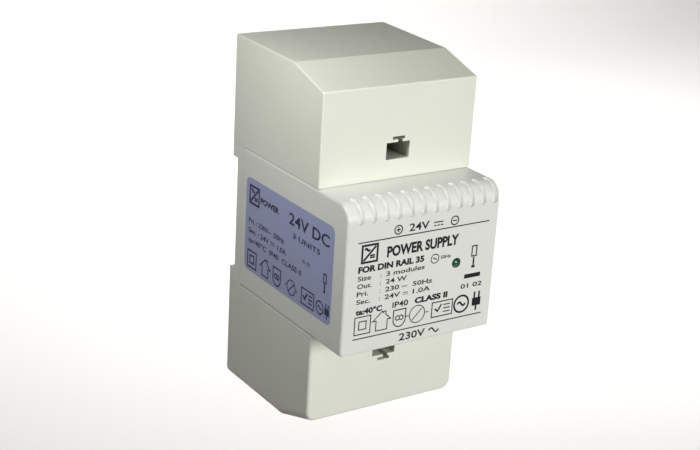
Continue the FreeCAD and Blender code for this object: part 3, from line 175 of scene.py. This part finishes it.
class Value:
    """A number that changes over a surface: a shader socket that takes arithmetic."""

    def __init__(self, surface, socket):
        self.surface = surface
        self.socket = socket

    def _maths(self, operation, first, second):
        return self.surface.node("ShaderNodeMath", {"operation": operation}, {0: first, 1: second})

    def __add__(self, other):
        return self._maths("ADD", self, other)

    def __radd__(self, other):
        return self._maths("ADD", other, self)

    def __mul__(self, other):
        return self._maths("MULTIPLY", self, other)

    def __rmul__(self, other):
        return self._maths("MULTIPLY", other, self)

    def __gt__(self, other):
        return self._maths("GREATER_THAN", self, other)

    def __lt__(self, other):
        return self._maths("LESS_THAN", self, other)

    def modulo(self, other):
        return self._maths("FLOORED_MODULO", self, other)


class Surface:
    """A material with one Principled shader, and nodes that feed what varies over it."""

    def __init__(self, name, **settings):
        self.material = bpy.data.materials.new(name)
        self.material.use_nodes = True
        self.tree = self.material.node_tree
        self.shader = next(n for n in self.tree.nodes if n.type == "BSDF_PRINCIPLED")
        self.set(**settings)

    def set(self, **values):
        """Constants go straight on the shader's sockets, and varying values are linked to them."""
        for name, value in values.items():
            socket = self.shader.inputs[name.replace("_", " ")]
            if isinstance(value, Value):
                self.tree.links.new(value.socket, socket)
            elif socket.type == "RGBA":
                socket.default_value = (*value, 1.0)
            else:
                socket.default_value = value

    def node(self, kind, settings=None, inputs=None, output=0):
        """One node: its type, its settings and the values or links of its sockets."""
        made = self.tree.nodes.new(kind)
        for name, value in (settings or {}).items():
            setattr(made, name, value)
        for name, value in (inputs or {}).items():
            socket = made.inputs[name]
            if isinstance(value, Value):
                self.tree.links.new(value.socket, socket)
            elif socket.type == "RGBA" and len(value) == 3:
                socket.default_value = (*value, 1.0)
            else:
                socket.default_value = value
        return Value(self, made.outputs[output])

    def place(self):
        """Position on the object, in metres."""
        return self.node("ShaderNodeTexCoord", output="Object")

    def stretched(self, x=1.0, y=1.0, z=1.0):
        """The place, squeezed along the axes so that a pattern runs in streaks."""
        return self.node("ShaderNodeVectorMath", {"operation": "MULTIPLY"},
                         {0: self.place(), 1: (x, y, z)})

    def axis(self, name):
        """One coordinate of the place."""
        return self.node("ShaderNodeSeparateXYZ", inputs={0: self.place()}, output=name)

    def noise(self, size, detail=3.0, roughness=0.55, at=None):
        """Noise from 0 to 1 with features of a size in metres."""
        return self.node("ShaderNodeTexNoise", inputs={
            "Vector": at or self.place(), "Scale": 1.0 / size, "Detail": detail, "Roughness": roughness})

    def cells(self, size, feature="F1"):
        """Distance to the nearest cell's middle, or to its edge."""
        return self.node("ShaderNodeTexVoronoi", {"feature": feature}, {
            "Vector": self.place(), "Scale": 1.0 / size}, output="Distance")

    def ease(self, value):
        """The value, held between 0 and 1."""
        return self.node("ShaderNodeClamp", inputs={0: value})

    def mix(self, factor, first, second):
        """Colour between two colours."""
        return self.node(
            "ShaderNodeMix", {"data_type": "RGBA"}, {0: factor, 6: first, 7: second}, output=2)

    def bump(self, height, strength, distance):
        """Normal of a relief that stands up to a distance in metres."""
        return self.node("ShaderNodeBump", inputs={
            "Strength": strength, "Distance": distance, "Height": height})


def tone(colour, factor):
    """The colour made lighter or darker."""
    return tuple(min(1.0, part * factor) for part in colour)


# ---------------------------------------------------------------- finishes

def moulded(name, colour, grain, roughness=0.46, mottle=0.035, relief=0.012 * MM, painted_tunnel_shade=0.0):
    """Moulded plastic: faint mottling, a fine even grain and a gloss that wanders a little.

    The tunnel shade setting paints shade on the walls of the tunnels behind the release windows, darker
    with their depth, where less light reaches.
    """
    surface = Surface(name, IOR=1.47)
    broad = surface.noise(14 * MM, 2.0)
    fine = surface.noise(1.1 * MM, 2.0)
    clouds = broad * 0.7 + fine * 0.3
    shade = surface.mix(clouds, tone(colour, 1 - mottle), tone(colour, 1 + mottle))
    # painted shade: inside the tunnels the colour is mixed towards a dark tone with depth, standing in for
    # the light that doesn't reach the walls
    if painted_tunnel_shade:
        across, up = surface.axis("X"), surface.axis("Z")
        inside = (across * across < TUNNEL_HALF_WIDTH ** 2) * (up * up < TUNNEL_FAR_SIDE ** 2)
        depth = surface.ease((surface.axis("Y") + TUNNEL_FRONT) * (1 / TUNNEL_SHADE_DEPTH))
        shade = surface.mix(inside * depth * painted_tunnel_shade, shade, tone(colour, 0.10))
    surface.set(
        Base_Color=shade,
        Roughness=surface.noise(5 * MM, 3.0) * 0.10 + (roughness - 0.05),
        Normal=surface.bump(surface.noise(grain, 2.0, 0.6), 0.35, relief))
    return surface.material


def ink_finish(name, colour):
    """Pad-printed ink: slightly thin in places, with the plastic's grain under it."""
    surface = Surface(name, IOR=1.5, Specular_IOR_Level=0.2)
    thin = surface.noise(0.5 * MM, 3.0)
    surface.set(
        Base_Color=surface.mix(thin, tone(colour, 0.7), tone(colour, 1.6)),
        Roughness=surface.noise(0.9 * MM) * 0.12 + 0.36,
        Normal=surface.bump(surface.noise(0.16 * MM), 0.2, 0.006 * MM))
    return surface.material


def label_film(name, colour):
    """Satin printed film with a faint weave of print dots."""
    surface = Surface(name, IOR=1.5, Coat_Roughness=0.25)
    dots = surface.cells(0.22 * MM)
    broad = surface.noise(16 * MM, 2.0)
    surface.set(
        Base_Color=surface.mix(dots * 0.35 + broad * 0.65, tone(colour, 0.93), tone(colour, 1.07)),
        Roughness=surface.noise(3 * MM) * 0.10 + 0.40,
        Coat_Weight=surface.noise(6 * MM) * 0.10 + 0.10,
        Normal=surface.bump(surface.noise(0.6 * MM), 0.12, 0.006 * MM))
    return surface.material


def tinted_lens(name, colour):
    """Glossy tinted lens, its tint darker and lighter at random."""
    surface = Surface(name, IOR=1.55, Coat_Roughness=0.04)
    depth = surface.noise(0.9 * MM, 2.0)
    surface.set(
        Base_Color=surface.mix(depth, tone(colour, 0.6), tone(colour, 1.9)),
        Roughness=surface.noise(0.5 * MM) * 0.06 + 0.10,
        Coat_Weight=surface.noise(2 * MM) * 0.1 + 0.6,
        Normal=surface.bump(depth, 0.10, 0.01 * MM))
    return surface.material


def worked_metal(name, colour, streak, roughness=0.30):
    """Metal with a directional finish: streak gives how the marks are drawn out."""
    surface = Surface(name, Metallic=1.0)
    marks = surface.noise(0.5 * MM, 5.0, 0.65, at=surface.stretched(*streak))
    patches = surface.noise(3 * MM, 3.0)
    surface.set(
        Base_Color=surface.mix(patches, tone(colour, 0.86), tone(colour, 1.06)),
        Roughness=marks * 0.22 + (roughness - 0.08),
        Normal=surface.bump(marks, 0.22, 0.010 * MM))
    return surface.material


def enamelled_wire(name, colour):
    """Enamelled copper wire with a soft gloss."""
    surface = Surface(name, Metallic=0.85, Coat_Roughness=0.12)
    tint = surface.noise(1.5 * MM, 3.0)
    surface.set(
        Base_Color=surface.mix(tint, tone(colour, 0.75), tone(colour, 1.15)),
        Roughness=tint * 0.12 + 0.24,
        Coat_Weight=tint * 0.2 + 0.4,
        Normal=surface.bump(surface.noise(0.3 * MM), 0.2, 0.01 * MM))
    return surface.material


def board_finish(name, colour):
    """Solder resist over copper tracks, which stand slightly proud and show lighter."""
    surface = Surface(name, IOR=1.52)
    track = surface.cells(4.5 * MM, "DISTANCE_TO_EDGE") > 0.10
    weave = surface.noise(0.35 * MM, 2.0)
    lit = surface.mix(weave, tone(colour, 1.25), tone(colour, 1.55))
    dark = surface.mix(weave, tone(colour, 0.75), tone(colour, 0.95))
    surface.set(
        Base_Color=surface.mix(track, dark, lit),
        Roughness=weave * 0.12 + 0.26,
        Normal=surface.bump(track * 0.8 + weave * 0.2, 0.35, 0.03 * MM))
    return surface.material


def ferrite_finish(name, colour):
    """Sintered ferrite: matt, dark and speckled."""
    surface = Surface(name, IOR=1.9)
    speckle = surface.noise(0.25 * MM, 4.0, 0.7)
    surface.set(
        Base_Color=surface.mix(speckle, tone(colour, 0.6), tone(colour, 1.8)),
        Roughness=speckle * 0.2 + 0.45,
        Normal=surface.bump(speckle, 0.5, 0.02 * MM))
    return surface.material


def banded_sleeve(name, colour, band):
    """Shrunk sleeve of a capacitor with a pale stripe down one side."""
    surface = Surface(name, IOR=1.5)
    stripe = surface.axis("X").modulo(13.5 * MM) < 2.2 * MM
    wrinkle = surface.noise(1.6 * MM, 3.0)
    surface.set(
        Base_Color=surface.mix(stripe, surface.mix(wrinkle, tone(colour, 0.8), tone(colour, 1.4)), band),
        Roughness=wrinkle * 0.12 + 0.22,
        Normal=surface.bump(wrinkle, 0.15, 0.03 * MM))
    return surface.material


def wound_tape(name, colour):
    """Polyester tape wound in overlapping turns."""
    surface = Surface(name, IOR=1.5)
    turn = surface.axis("X").modulo(3.8 * MM) * (1 / (3.8 * MM))
    cloud = surface.noise(2.4 * MM, 3.0)
    surface.set(
        Base_Color=surface.mix(turn * 0.5 + cloud * 0.5, tone(colour, 0.80), tone(colour, 1.10)),
        Roughness=cloud * 0.12 + 0.24,
        Normal=surface.bump(turn * 0.7 + cloud * 0.3, 0.3, 0.05 * MM))
    return surface.material


def clear_tube(name, colour):
    """Thin glass, faintly uneven."""
    surface = Surface(name, IOR=1.5, Transmission_Weight=0.9)
    wave = surface.noise(2.0 * MM, 2.0)
    surface.set(
        Base_Color=surface.mix(wave, tone(colour, 0.94), colour),
        Roughness=wave * 0.05 + 0.04,
        Normal=surface.bump(wave, 0.05, 0.02 * MM))
    return surface.material


def finishes():
    """One material for each of the record's slots."""
    tint = colours()
    grain = sizes().grain
    drawn_y = (1.0, 0.06, 1.0)
    drawn_z = (1.0, 1.0, 0.06)
    return {
        "housing_plastic": moulded("housing_plastic", tint.housing, grain, 0.38),
        "cover_plastic": moulded("cover_plastic", tint.cover, grain, painted_tunnel_shade=0.72),
        # the covers get painted shade on their tunnel walls
        "latch_plastic": moulded("latch_plastic", tint.latch, grain * 1.3, 0.42, 0.12),
        "terminal_plastic": moulded("terminal_plastic", (0.085, 0.090, 0.098), grain, 0.40, 0.12),
        "black_plastic": moulded("black_plastic", (0.028, 0.028, 0.030), grain, 0.38, 0.15),
        "black_epoxy": moulded("black_epoxy", (0.022, 0.022, 0.024), grain * 1.4, 0.50, 0.2),
        "blue_epoxy": moulded("blue_epoxy", (0.020, 0.085, 0.300), grain * 2.0, 0.24, 0.12),
        "capacitor_case": moulded("capacitor_case", (0.480, 0.335, 0.060), grain, 0.36, 0.08),
        "grey_pad": moulded("grey_pad", (0.290, 0.300, 0.300), grain * 2.0, 0.62, 0.08),
        "clear_film": moulded("clear_film", (0.620, 0.620, 0.580), grain * 3.0, 0.34, 0.04),
        "label_film": label_film("label_film", tint.label),
        "green_lens": tinted_lens("green_lens", tint.light),
        "board_laminate": board_finish("board_laminate", tint.board),
        "ferrite": ferrite_finish("ferrite", (0.035, 0.035, 0.038)),
        "black_sleeve": banded_sleeve("black_sleeve", (0.016, 0.016, 0.022), (0.55, 0.56, 0.58)),
        "yellow_tape": wound_tape("yellow_tape", (0.700, 0.470, 0.035)),
        "fuse_glass": clear_tube("fuse_glass", (0.92, 0.95, 0.95)),
        "copper_wire": enamelled_wire("copper_wire", (0.620, 0.235, 0.080)),
        "spring_steel": worked_metal("spring_steel", (0.56, 0.57, 0.60), drawn_z, 0.26),
        "plated_steel": worked_metal("plated_steel", (0.60, 0.61, 0.64), (1.0, 1.0, 1.0), 0.34),
        "tinned_wire": worked_metal("tinned_wire", (0.66, 0.66, 0.67), drawn_y, 0.30),
        "tinned_copper": worked_metal("tinned_copper", (0.68, 0.68, 0.67), drawn_z, 0.32),
        "nickel_plate": worked_metal("nickel_plate", (0.66, 0.64, 0.60), (0.06, 1.0, 1.0), 0.22),
        "heatsink_metal": worked_metal("heatsink_metal", (0.66, 0.67, 0.68), drawn_y, 0.40),
    }


# ---------------------------------------------------------------- printing

def ribbon(points, width, closed=False):
    """Outlines of a line of even width through the points: one loop, or two if it closes on itself."""
    count = len(points)
    left, right = [], []
    for index, point in enumerate(points):
        here = Vector(point)
        before = Vector(points[index - 1]) if closed or index else None
        after = Vector(points[(index + 1) % count]) if closed or index < count - 1 else None
        into = (here - before).normalized() if before is not None else (after - here).normalized()
        out = (after - here).normalized() if after is not None else into
        middle = (into + out).normalized()
        side = Vector((-middle.y, middle.x))
        reach = width / 2 / max(0.3, side.dot(Vector((-into.y, into.x))))
        left.append(here + side * reach)
        right.append(here - side * reach)
    return [left, right] if closed else [left + right[::-1]]


def round_loop(x, y, radius, count=40, start=0.0, sweep=360.0):
    """Points round a circle, or along part of it."""
    steps = count if sweep == 360.0 else count + 1
    return [(x + radius * math.cos(math.radians(start + sweep * i / count)),
             y + radius * math.sin(math.radians(start + sweep * i / count))) for i in range(steps)]


def block(x, y, width, height):
    """Filled rectangle with its lower left corner at x, y."""
    return [[(x, y), (x + width, y), (x + width, y + height), (x, y + height)]]


def frame_loop(x, y, width, height, line):
    """Rectangle drawn as a line."""
    return ribbon(block(x, y, width, height)[0], line, closed=True)


def meshed(curve):
    """Mesh of a curve or of text."""
    holder = bpy.data.objects.new("holder", curve)
    bpy.context.scene.collection.objects.link(holder)
    bpy.context.view_layer.update()
    shaped = holder.evaluated_get(bpy.context.evaluated_depsgraph_get())
    mesh = bpy.data.meshes.new_from_object(shaped)
    bpy.data.objects.remove(holder)
    return mesh


class Print:
    """Flat printing in millimetres on a plane, gathered into one raised mesh."""

    def __init__(self, matrix):
        self.matrix = matrix
        self.parts = []

    def fill(self, loops):
        """Closed outlines, where one inside another leaves a hole."""
        curve = bpy.data.curves.new("outline", "CURVE")
        curve.dimensions = "2D"
        curve.fill_mode = "BOTH"
        curve.extrude = sizes().ink_height / 2
        for loop in loops:
            spline = curve.splines.new("POLY")
            spline.points.add(len(loop) - 1)
            for point, (x, y) in zip(spline.points, loop):
                point.co = (x * MM, y * MM, 0, 1)
            spline.use_cyclic_u = True
        self.parts.append(meshed(curve))

    def text(self, words, x, y, height, width=None, weight=0.0, centred=False):
        """Words with their baseline at x, y, with capitals of a height and the line squeezed to a width."""
        curve = bpy.data.curves.new("words", "FONT")
        curve.body = words
        curve.size = height * MM / CAPITAL_SHARE
        curve.offset = weight * MM
        curve.extrude = sizes().ink_height / 2
        curve.resolution_u = 3
        mesh = meshed(curve)
        low = min(vertex.co.x for vertex in mesh.vertices)
        high = max(vertex.co.x for vertex in mesh.vertices)
        squeeze = width * MM / (high - low) if width else 1.0
        start = x * MM - low * squeeze
        if centred:
            start -= (high - low) * squeeze / 2
        mesh.transform(Matrix.Translation((start, y * MM, 0)) @ Matrix.Diagonal((squeeze, 1, 1, 1)))
        self.parts.append(mesh)

    def piece(self, name, body, material):
        """The gathered printing as one piece that rides on a body."""
        whole = bmesh.new()
        for part in self.parts:
            whole.from_mesh(part)
        bmesh.ops.remove_doubles(whole, verts=whole.verts, dist=WELD)
        mesh = bpy.data.meshes.new(name)
        whole.to_mesh(mesh)
        whole.free()
        mesh.transform(self.matrix)
        mesh.materials.clear()
        mesh.materials.append(material)
        made = bpy.data.objects.new(name, mesh)
        bpy.context.scene.collection.objects.link(made)
        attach(made, body)
        return made


def double_square(ink, x, y, side, line):
    """Two squares, one inside the other: doubly insulated."""
    ink.fill(frame_loop(x, y, side, side, line))
    inner = side * 0.46
    ink.fill(frame_loop(x + (side - inner) / 2, y + (side - inner) / 2, inner, inner, line))


def house(ink, x, y, width, line):
    """Outline of a house: for use indoors."""
    wall = width * 0.62
    eave = y + width * 0.50
    left = x + (width - wall) / 2
    right = left + wall
    chimney = right - wall * 0.16
    points = [(left, y), (right, y), (right, eave), (x + width, eave), (chimney, eave + width * 0.26),
              (chimney, eave + width * 0.42), (chimney - wall * 0.2, eave + width * 0.42),
              (chimney - wall * 0.2, eave + width * 0.36), (x + width / 2, eave + width * 0.44),
              (x, eave), (left, eave)]
    ink.fill(ribbon(points, line, closed=True))


def shield(ink, x, y, width, line):
    """Shield with two coils side by side: a safety supply."""
    height = width * 1.25
    drop = height * 0.42
    foot = [(x + width * (1 - math.cos(math.radians(a))) / 2, y + drop - drop * math.sin(math.radians(a)))
            for a in range(0, 181, 15)]
    ink.fill(ribbon([(x + width, y + height), (x, y + height), *foot], line, closed=True))
    level, coil = y + height * 0.52, width * 0.16
    ink.fill(ribbon(round_loop(x + width * 0.36, level, coil, 24), line, closed=True))
    ink.fill(ribbon(round_loop(x + width * 0.65, level, coil, 24, 130, -260), line))


def lamp_circle(ink, x, y, radius, line):
    """Circle on a line with a slanting stroke: a converter."""
    ink.fill(ribbon(round_loop(x, y, radius), line, closed=True))
    ink.fill(ribbon([(x - radius * 1.5, y), (x - radius - line, y)], line))
    ink.fill(ribbon([(x + radius + line, y), (x + radius * 1.5, y)], line))
    slant = radius * 0.62
    ink.fill(ribbon([(x - slant, y - slant), (x + slant, y + slant)], line))


def converter_square(ink, x, y, side, line):
    """Square cut by a diagonal, with a wave in one half and bars in the other."""
    ink.fill(frame_loop(x, y, side, side, line))
    inset = line * 0.8
    ink.fill(ribbon([(x + inset, y + inset), (x + side - inset, y + side - inset)], line))
    wave(ink, x + side * 0.16, y + side * 0.74, side * 0.34, line)
    for step in (0.20, 0.32):
        ink.fill(block(x + side * 0.52, y + side * step, side * 0.32, line * 0.8))


def wave(ink, x, y, width, line):
    """One period of alternating current."""
    points = [(x + width * i / 20, y + width * 0.20 * math.sin(math.tau * i / 20)) for i in range(21)]
    ink.fill(ribbon(points, line))


def source_sign(ink, x, y, radius, line):
    """Ring round a wave: an alternating supply."""
    ink.fill(ribbon(round_loop(x, y, radius), line, closed=True))
    wave(ink, x - radius * 0.55, y, radius * 1.1, line)


def plug(ink, x, y, height, line):
    """Upright plug with two pins and its lead."""
    body = height * 0.42
    lead = height * 0.26
    ink.fill(block(x - height * 0.26, y + lead, height * 0.52, body))
    for side in (-1, 1):
        pin = x + side * height * 0.14
        ink.fill(block(pin - line / 2, y + lead + body, line, height * 0.32))
    ink.fill(block(x - line / 2, y, line, lead))


def direct_sign(ink, x, y, width, line):
    """A solid bar over three short ones: direct current."""
    ink.fill(block(x, y + width * 0.30, width, line))
    dash = width * 0.26
    for step in range(3):
        ink.fill(block(x + step * (width - dash) / 2, y, dash, line))


def pole_sign(ink, x, y, radius, line, plus):
    """Circled plus or minus."""
    ink.fill(ribbon(round_loop(x, y, radius), line, closed=True))
    arm = radius * 0.58
    half = line / 2
    if plus:
        cross = [(-arm, -half), (-half, -half), (-half, -arm), (half, -arm), (half, -half), (arm, -half),
                 (arm, half), (half, half), (half, arm), (-half, arm), (-half, half), (-arm, half)]
        ink.fill([[(x + u, y + v) for u, v in cross]])
    else:
        ink.fill(block(x - arm, y - half, 2 * arm, line))


def screwdriver(ink, x, y, height, line):
    """Upright screwdriver: to be fitted with tools."""
    handle = height * 0.46
    shaft = height - handle - height * 0.14 - line / 2
    ink.fill(frame_loop(x - height * 0.12, y + height - handle, height * 0.24, handle, line))
    ink.fill(block(x - line * 0.7, y + height * 0.12, line * 1.4, shaft))
    ink.fill(block(x - height * 0.09, y, height * 0.18, height * 0.11))


def tick_box(ink, x, y, width, height, line):
    """Box with a tick and three ruled lines."""
    ink.fill(frame_loop(x, y, width, height, line))
    ink.fill(ribbon([(x + width * 0.14, y + height * 0.56), (x + width * 0.28, y + height * 0.36),
                     (x + width * 0.46, y + height * 0.80)], line * 1.5))
    for step in range(3):
        ink.fill(block(x + width * 0.56, y + height * (0.22 + 0.24 * step), width * 0.32, line))


# ---------------------------------------------------------------- pieces

class MakeCasing(bpy.types.Operator):
    """Give every part of the frame its finish"""
    bl_idname = "power_supply.casing"
    bl_label = "Casing and inner parts"

    def execute(self, context):
        made = finishes()
        for node, item in frame["nodes"].items():
            item.data.materials.clear()
            item.data.materials.append(made[SLOT_OF[node]])
        return {"FINISHED"}


class FitSpring(bpy.types.Operator):
    """Fit a copy of the latch spring, with its own mesh, on the housing in place of the frame's spring"""
    bl_idname = "power_supply.latch_spring"
    bl_label = "Latch spring"

    def execute(self, context):
        wound = frame["nodes"]["latch_spring"]
        spring = bpy.data.objects.new("pressed_spring", wound.data.copy())
        spring.matrix_world = wound.matrix_world.copy()
        context.scene.collection.objects.link(spring)
        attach(spring, "housing")
        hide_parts("latch_spring")
        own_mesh(spring)
        return {"FINISHED"}


class PrintFace(bpy.types.Operator):
    """Print the ratings and signs on the face"""
    bl_idname = "power_supply.face_print"
    bl_label = "Face printing"

    def execute(self, context):
        ink = Print(Matrix.Translation((0, FACE_Y - sizes().ink_height / 2, 0)) @ UPRIGHT)
        ink.fill(block(-22.4, 11.12, 45.2, 0.33))
        ink.fill(block(-22.4, -17.78, 45.2, 0.33))
        pole_sign(ink, -9.25, 13.35, 1.28, 0.36, plus=True)
        ink.text("24V", -5.6, 12.3, 2.3, 6.9, weight=0.05)
        direct_sign(ink, 2.9, 12.5, 3.2, 0.34)
        pole_sign(ink, 10.2, 13.2, 1.28, 0.36, plus=False)
        ink.text("230V", -6.4, -21.0, 2.3, 9.1, weight=0.05)
        wave(ink, 4.0, -19.9, 3.6, 0.46)
        self.heading(ink)
        self.ratings(ink)
        self.signs(ink)
        ink.piece("face_print", "housing", ink_finish("face_ink", colours().ink))
        return {"FINISHED"}

    def heading(self, ink):
        converter_square(ink, -20.9, 5.3, 5.0, 0.62)
        ink.text("POWER SUPPLY", -12.6, 5.8, 3.1, 24.8, weight=0.17)
        ink.text("FOR DIN RAIL 35", -21.9, 2.4, 1.8, 22.3, weight=0.12)
        ink.fill(ribbon(round_loop(4.2, 2.5, 1.35), 0.28, closed=True))
        wave(ink, 3.5, 2.5, 1.4, 0.28)
        ink.text("50Hz", 6.2, 2.1, 1.0, 3.6, weight=0.03)

    def ratings(self, ink):
        rows = (("Size", 4.4, "3 modules", 13.2), ("Out.", 4.8, "24 W", 7.2),
                ("Pri.", 3.8, "230 ~  50Hz", 16.3), ("Sec.", 4.6, "24V", 5.2))
        base = 0.0
        for row, (head, wide, words, width) in enumerate(rows):
            base = -2.33 * row
            ink.text(head, -21.9, base, 1.45, wide, weight=0.035)
            ink.text(":", -14.3, base, 1.45, weight=0.035)
            ink.text(words, -12.4, base, 1.45, width, weight=0.035)
        direct_sign(ink, -6.2, base + 0.25, 1.7, 0.22)
        ink.text("1.0A", -2.8, base, 1.45, 6.1, weight=0.035)
        ink.text("ta:40°C", -21.9, -10.2, 1.65, 8.9, weight=0.10)
        ink.text("IP40", -9.5, -10.2, 1.8, 5.4, weight=0.05)
        ink.text("CLASS II", -1.8, -10.2, 1.7, 11.6, weight=0.12)

    def signs(self, ink):
        double_square(ink, -22.0, -16.3, 5.3, 0.32)
        house(ink, -15.9, -16.3, 6.1, 0.30)
        shield(ink, -8.9, -16.4, 4.2, 0.34)
        lamp_circle(ink, -0.6, -13.7, 2.65, 0.28)
        tick_box(ink, 4.6, -15.9, 7.3, 4.6, 0.34)
        screwdriver(ink, 18.3, -2.6, 6.8, 0.40)
        ink.fill(block(15.4, -5.65, 5.8, 1.3))
        ink.text("01 02", 14.4, -8.7, 1.45, 7.7, weight=0.035)
        source_sign(ink, 15.2, -13.5, 2.6, 0.60)
        plug(ink, 20.7, -16.5, 6.0, 0.60)


class PrintLabel(bpy.types.Operator):
    """Print the rating label on the left side"""
    bl_idname = "power_supply.label_print"
    bl_label = "Label printing"

    def execute(self, context):
        corner = Matrix.Translation((LABEL_X - sizes().ink_height / 2, LABEL_BACK_Y, 0))
        ink = Print(corner @ Matrix.Rotation(-math.pi / 2, 4, "Z") @ UPRIGHT)
        converter_square(ink, 2.2, 6.6, 5.4, 0.70)
        ink.text("POWER", 8.6, 8.2, 1.8, 10.8, weight=0.10)
        ink.text("24V DC", 25.2, 7.6, 3.6, 22.0, weight=0.08)
        ink.text("3 UNITS", 27.6, 3.8, 1.6, 15.0, weight=0.04)
        ink.text("Pri. : 230V~  50Hz", 2.0, 0.2, 1.6, 21.0, weight=0.04)
        ink.text("Sec. : 24V", 2.0, -2.9, 1.6, 12.2, weight=0.04)
        direct_sign(ink, 15.2, -2.6, 2.4, 0.28)
        ink.text("1.0A", 19.4, -2.9, 1.6, 4.8, weight=0.04)
        ink.text("ta=40°C  IP40  CLASS II", 2.0, -6.0, 1.6, 31.0, weight=0.04)
        ink.text("01 02", 33.6, -1.6, 1.0, 4.0, weight=0.02)
        double_square(ink, 2.0, -13.9, 5.2, 0.50)
        house(ink, 9.8, -13.9, 5.8, 0.42)
        shield(ink, 17.4, -14.2, 4.4, 0.46)
        lamp_circle(ink, 28.0, -11.6, 2.3, 0.36)
        tick_box(ink, 33.8, -13.9, 6.8, 4.8, 0.44)
        screwdriver(ink, 45.8, -6.4, 5.6, 0.42)
        source_sign(ink, 43.8, -11.6, 1.9, 0.46)
        plug(ink, 47.6, -13.8, 4.6, 0.50)
        ink.piece("label_print", "housing", ink_finish("label_ink", colours().label_ink))
        return {"FINISHED"}


class MarkTerminals(bpy.types.Operator):
    """Mark the poles on the terminal blocks"""
    bl_idname = "power_supply.terminal_marks"
    bl_label = "Terminal marks"

    def execute(self, context):
        material = ink_finish("mark_ink", (0.75, 0.76, 0.74))
        for node, marks in (("output_terminal_block", "+-"), ("input_terminal_block", "LN")):
            low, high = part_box(node)
            ink = Print(Matrix.Translation((0, low.y - sizes().ink_height / 2, 0)) @ UPRIGHT)
            middle = (low.z + high.z) / 2 / MM
            for side, mark in zip((-1, 1), marks):
                ink.text(mark, side * 5.0, middle - 0.9, 1.9, weight=0.08, centred=True)
            ink.piece(node + "_marks", "housing", material)
        return {"FINISHED"}


class SetStage(bpy.types.Operator):
    """Lay the floor, hang the lights and set up the camera"""
    bl_idname = "power_supply.stage"
    bl_label = "Stage, lights and camera"

    def execute(self, context):
        self.floor()
        self.lights(context.scene)
        self.camera(context.scene)
        return {"FINISHED"}

    def floor(self):
        reach = sizes().stage_reach
        drop = cad_box[0].z - sizes().stage_drop
        start = reach - FLOOR_BEND
        profile = [(-reach, drop), (start, drop)]
        for step in range(9, 91, 9):
            angle = math.radians(step)
            profile.append((start + FLOOR_BEND * math.sin(angle),
                            drop + FLOOR_BEND - FLOOR_BEND * math.cos(angle)))
        profile.append((reach, drop + FLOOR_BEND + FLOOR_RISE))
        mesh = bpy.data.meshes.new("floor")
        vertices = [(side * reach * FLOOR_WIDENING, y, z) for y, z in profile for side in (-1, 1)]
        faces = [(2 * i, 2 * i + 1, 2 * i + 3, 2 * i + 2) for i in range(len(profile) - 1)]
        mesh.from_pydata(vertices, [], faces)
        mesh.shade_smooth()
        floor = bpy.data.objects.new("floor", mesh)
        bpy.context.scene.collection.objects.link(floor)
        surface = Surface("floor_paper", Roughness=0.9)
        colour = colours().backdrop
        surface.set(Base_Color=surface.mix(surface.noise(0.3, 2.0), tone(colour, 0.985), colour))
        floor.data.materials.append(surface.material)

    def lights(self, scene):
        world = bpy.data.worlds.new("soft_room")
        world.use_nodes = True
        sky = world.node_tree.nodes["Background"]
        sky.inputs["Color"].default_value = SKY_COLOUR
        sky.inputs["Strength"].default_value = SKY_STRENGTH
        scene.world = world
        for name, place, aim, power, size, spread, colour in LIGHTS:
            lamp = bpy.data.lights.new(name, "AREA")
            lamp.energy = power
            lamp.color = colour
            lamp.size = size
            lamp.spread = math.radians(spread)
            holder = bpy.data.objects.new(name, lamp)
            holder.location = place
            holder.rotation_euler = (Vector(aim) - Vector(place)).to_track_quat("-Z", "Y").to_euler()
            scene.collection.objects.link(holder)

    def camera(self, scene):
        lens = bpy.data.cameras.new("camera")
        lens.sensor_width = SENSOR_WIDTH
        lens.lens = FOCAL_LENGTH
        lens.clip_start = NEAREST
        camera = bpy.data.objects.new("camera", lens)
        azimuth, elevation, roll = (math.radians(angle) for angle in CAMERA_TURN)
        back = Vector((math.sin(azimuth) * math.cos(elevation), -math.cos(azimuth) * math.cos(elevation),
                       math.sin(elevation)))
        right = (-back).cross(Vector((0, 0, 1))).normalized()
        up = back.cross(right)
        across = right * math.cos(roll) + up * math.sin(roll)
        above = up * math.cos(roll) - right * math.sin(roll)
        turn = Matrix((across, above, back)).transposed()
        camera.matrix_world = Matrix.Translation(CAMERA_TARGET - turn @ CAMERA_SHIFT) @ turn.to_4x4()
        scene.collection.objects.link(camera)
        scene.camera = camera
        scene.view_settings.view_transform = "Standard"


class PowerSupplyPanel(bpy.types.Panel):
    """Sizes, colours and the steps that build the power supply"""
    bl_idname = "VIEW3D_PT_power_supply"
    bl_label = "Power supply"
    bl_space_type = "VIEW_3D"
    bl_region_type = "UI"
    bl_category = "Power supply"

    def draw(self, context):
        for group in (context.scene.power_supply_sizes, context.scene.power_supply_colours):
            for name in group.bl_rna.properties.keys():
                if name not in {"rna_type", "name"}:
                    self.layout.prop(group, name)
        for operator in OPERATORS:
            self.layout.operator(operator.bl_idname)


OPERATORS = (MakeCasing, FitSpring, PrintFace, PrintLabel, MarkTerminals, SetStage)
CLASSES = (PowerSupplySizes, PowerSupplyColours, *OPERATORS, PowerSupplyPanel)


def register():
    for item in CLASSES:
        bpy.utils.register_class(item)
    bpy.types.Scene.power_supply_sizes = PointerProperty(type=PowerSupplySizes)
    bpy.types.Scene.power_supply_colours = PointerProperty(type=PowerSupplyColours)


def unregister():
    del bpy.types.Scene.power_supply_colours
    del bpy.types.Scene.power_supply_sizes
    for item in reversed(CLASSES):
        bpy.utils.unregister_class(item)


def main():
    register()
    bpy.ops.power_supply.casing()
    bpy.ops.power_supply.latch_spring()
    bpy.ops.power_supply.face_print()
    bpy.ops.power_supply.label_print()
    bpy.ops.power_supply.terminal_marks()
    bpy.ops.power_supply.stage()


if __name__ == "__main__":
    main()
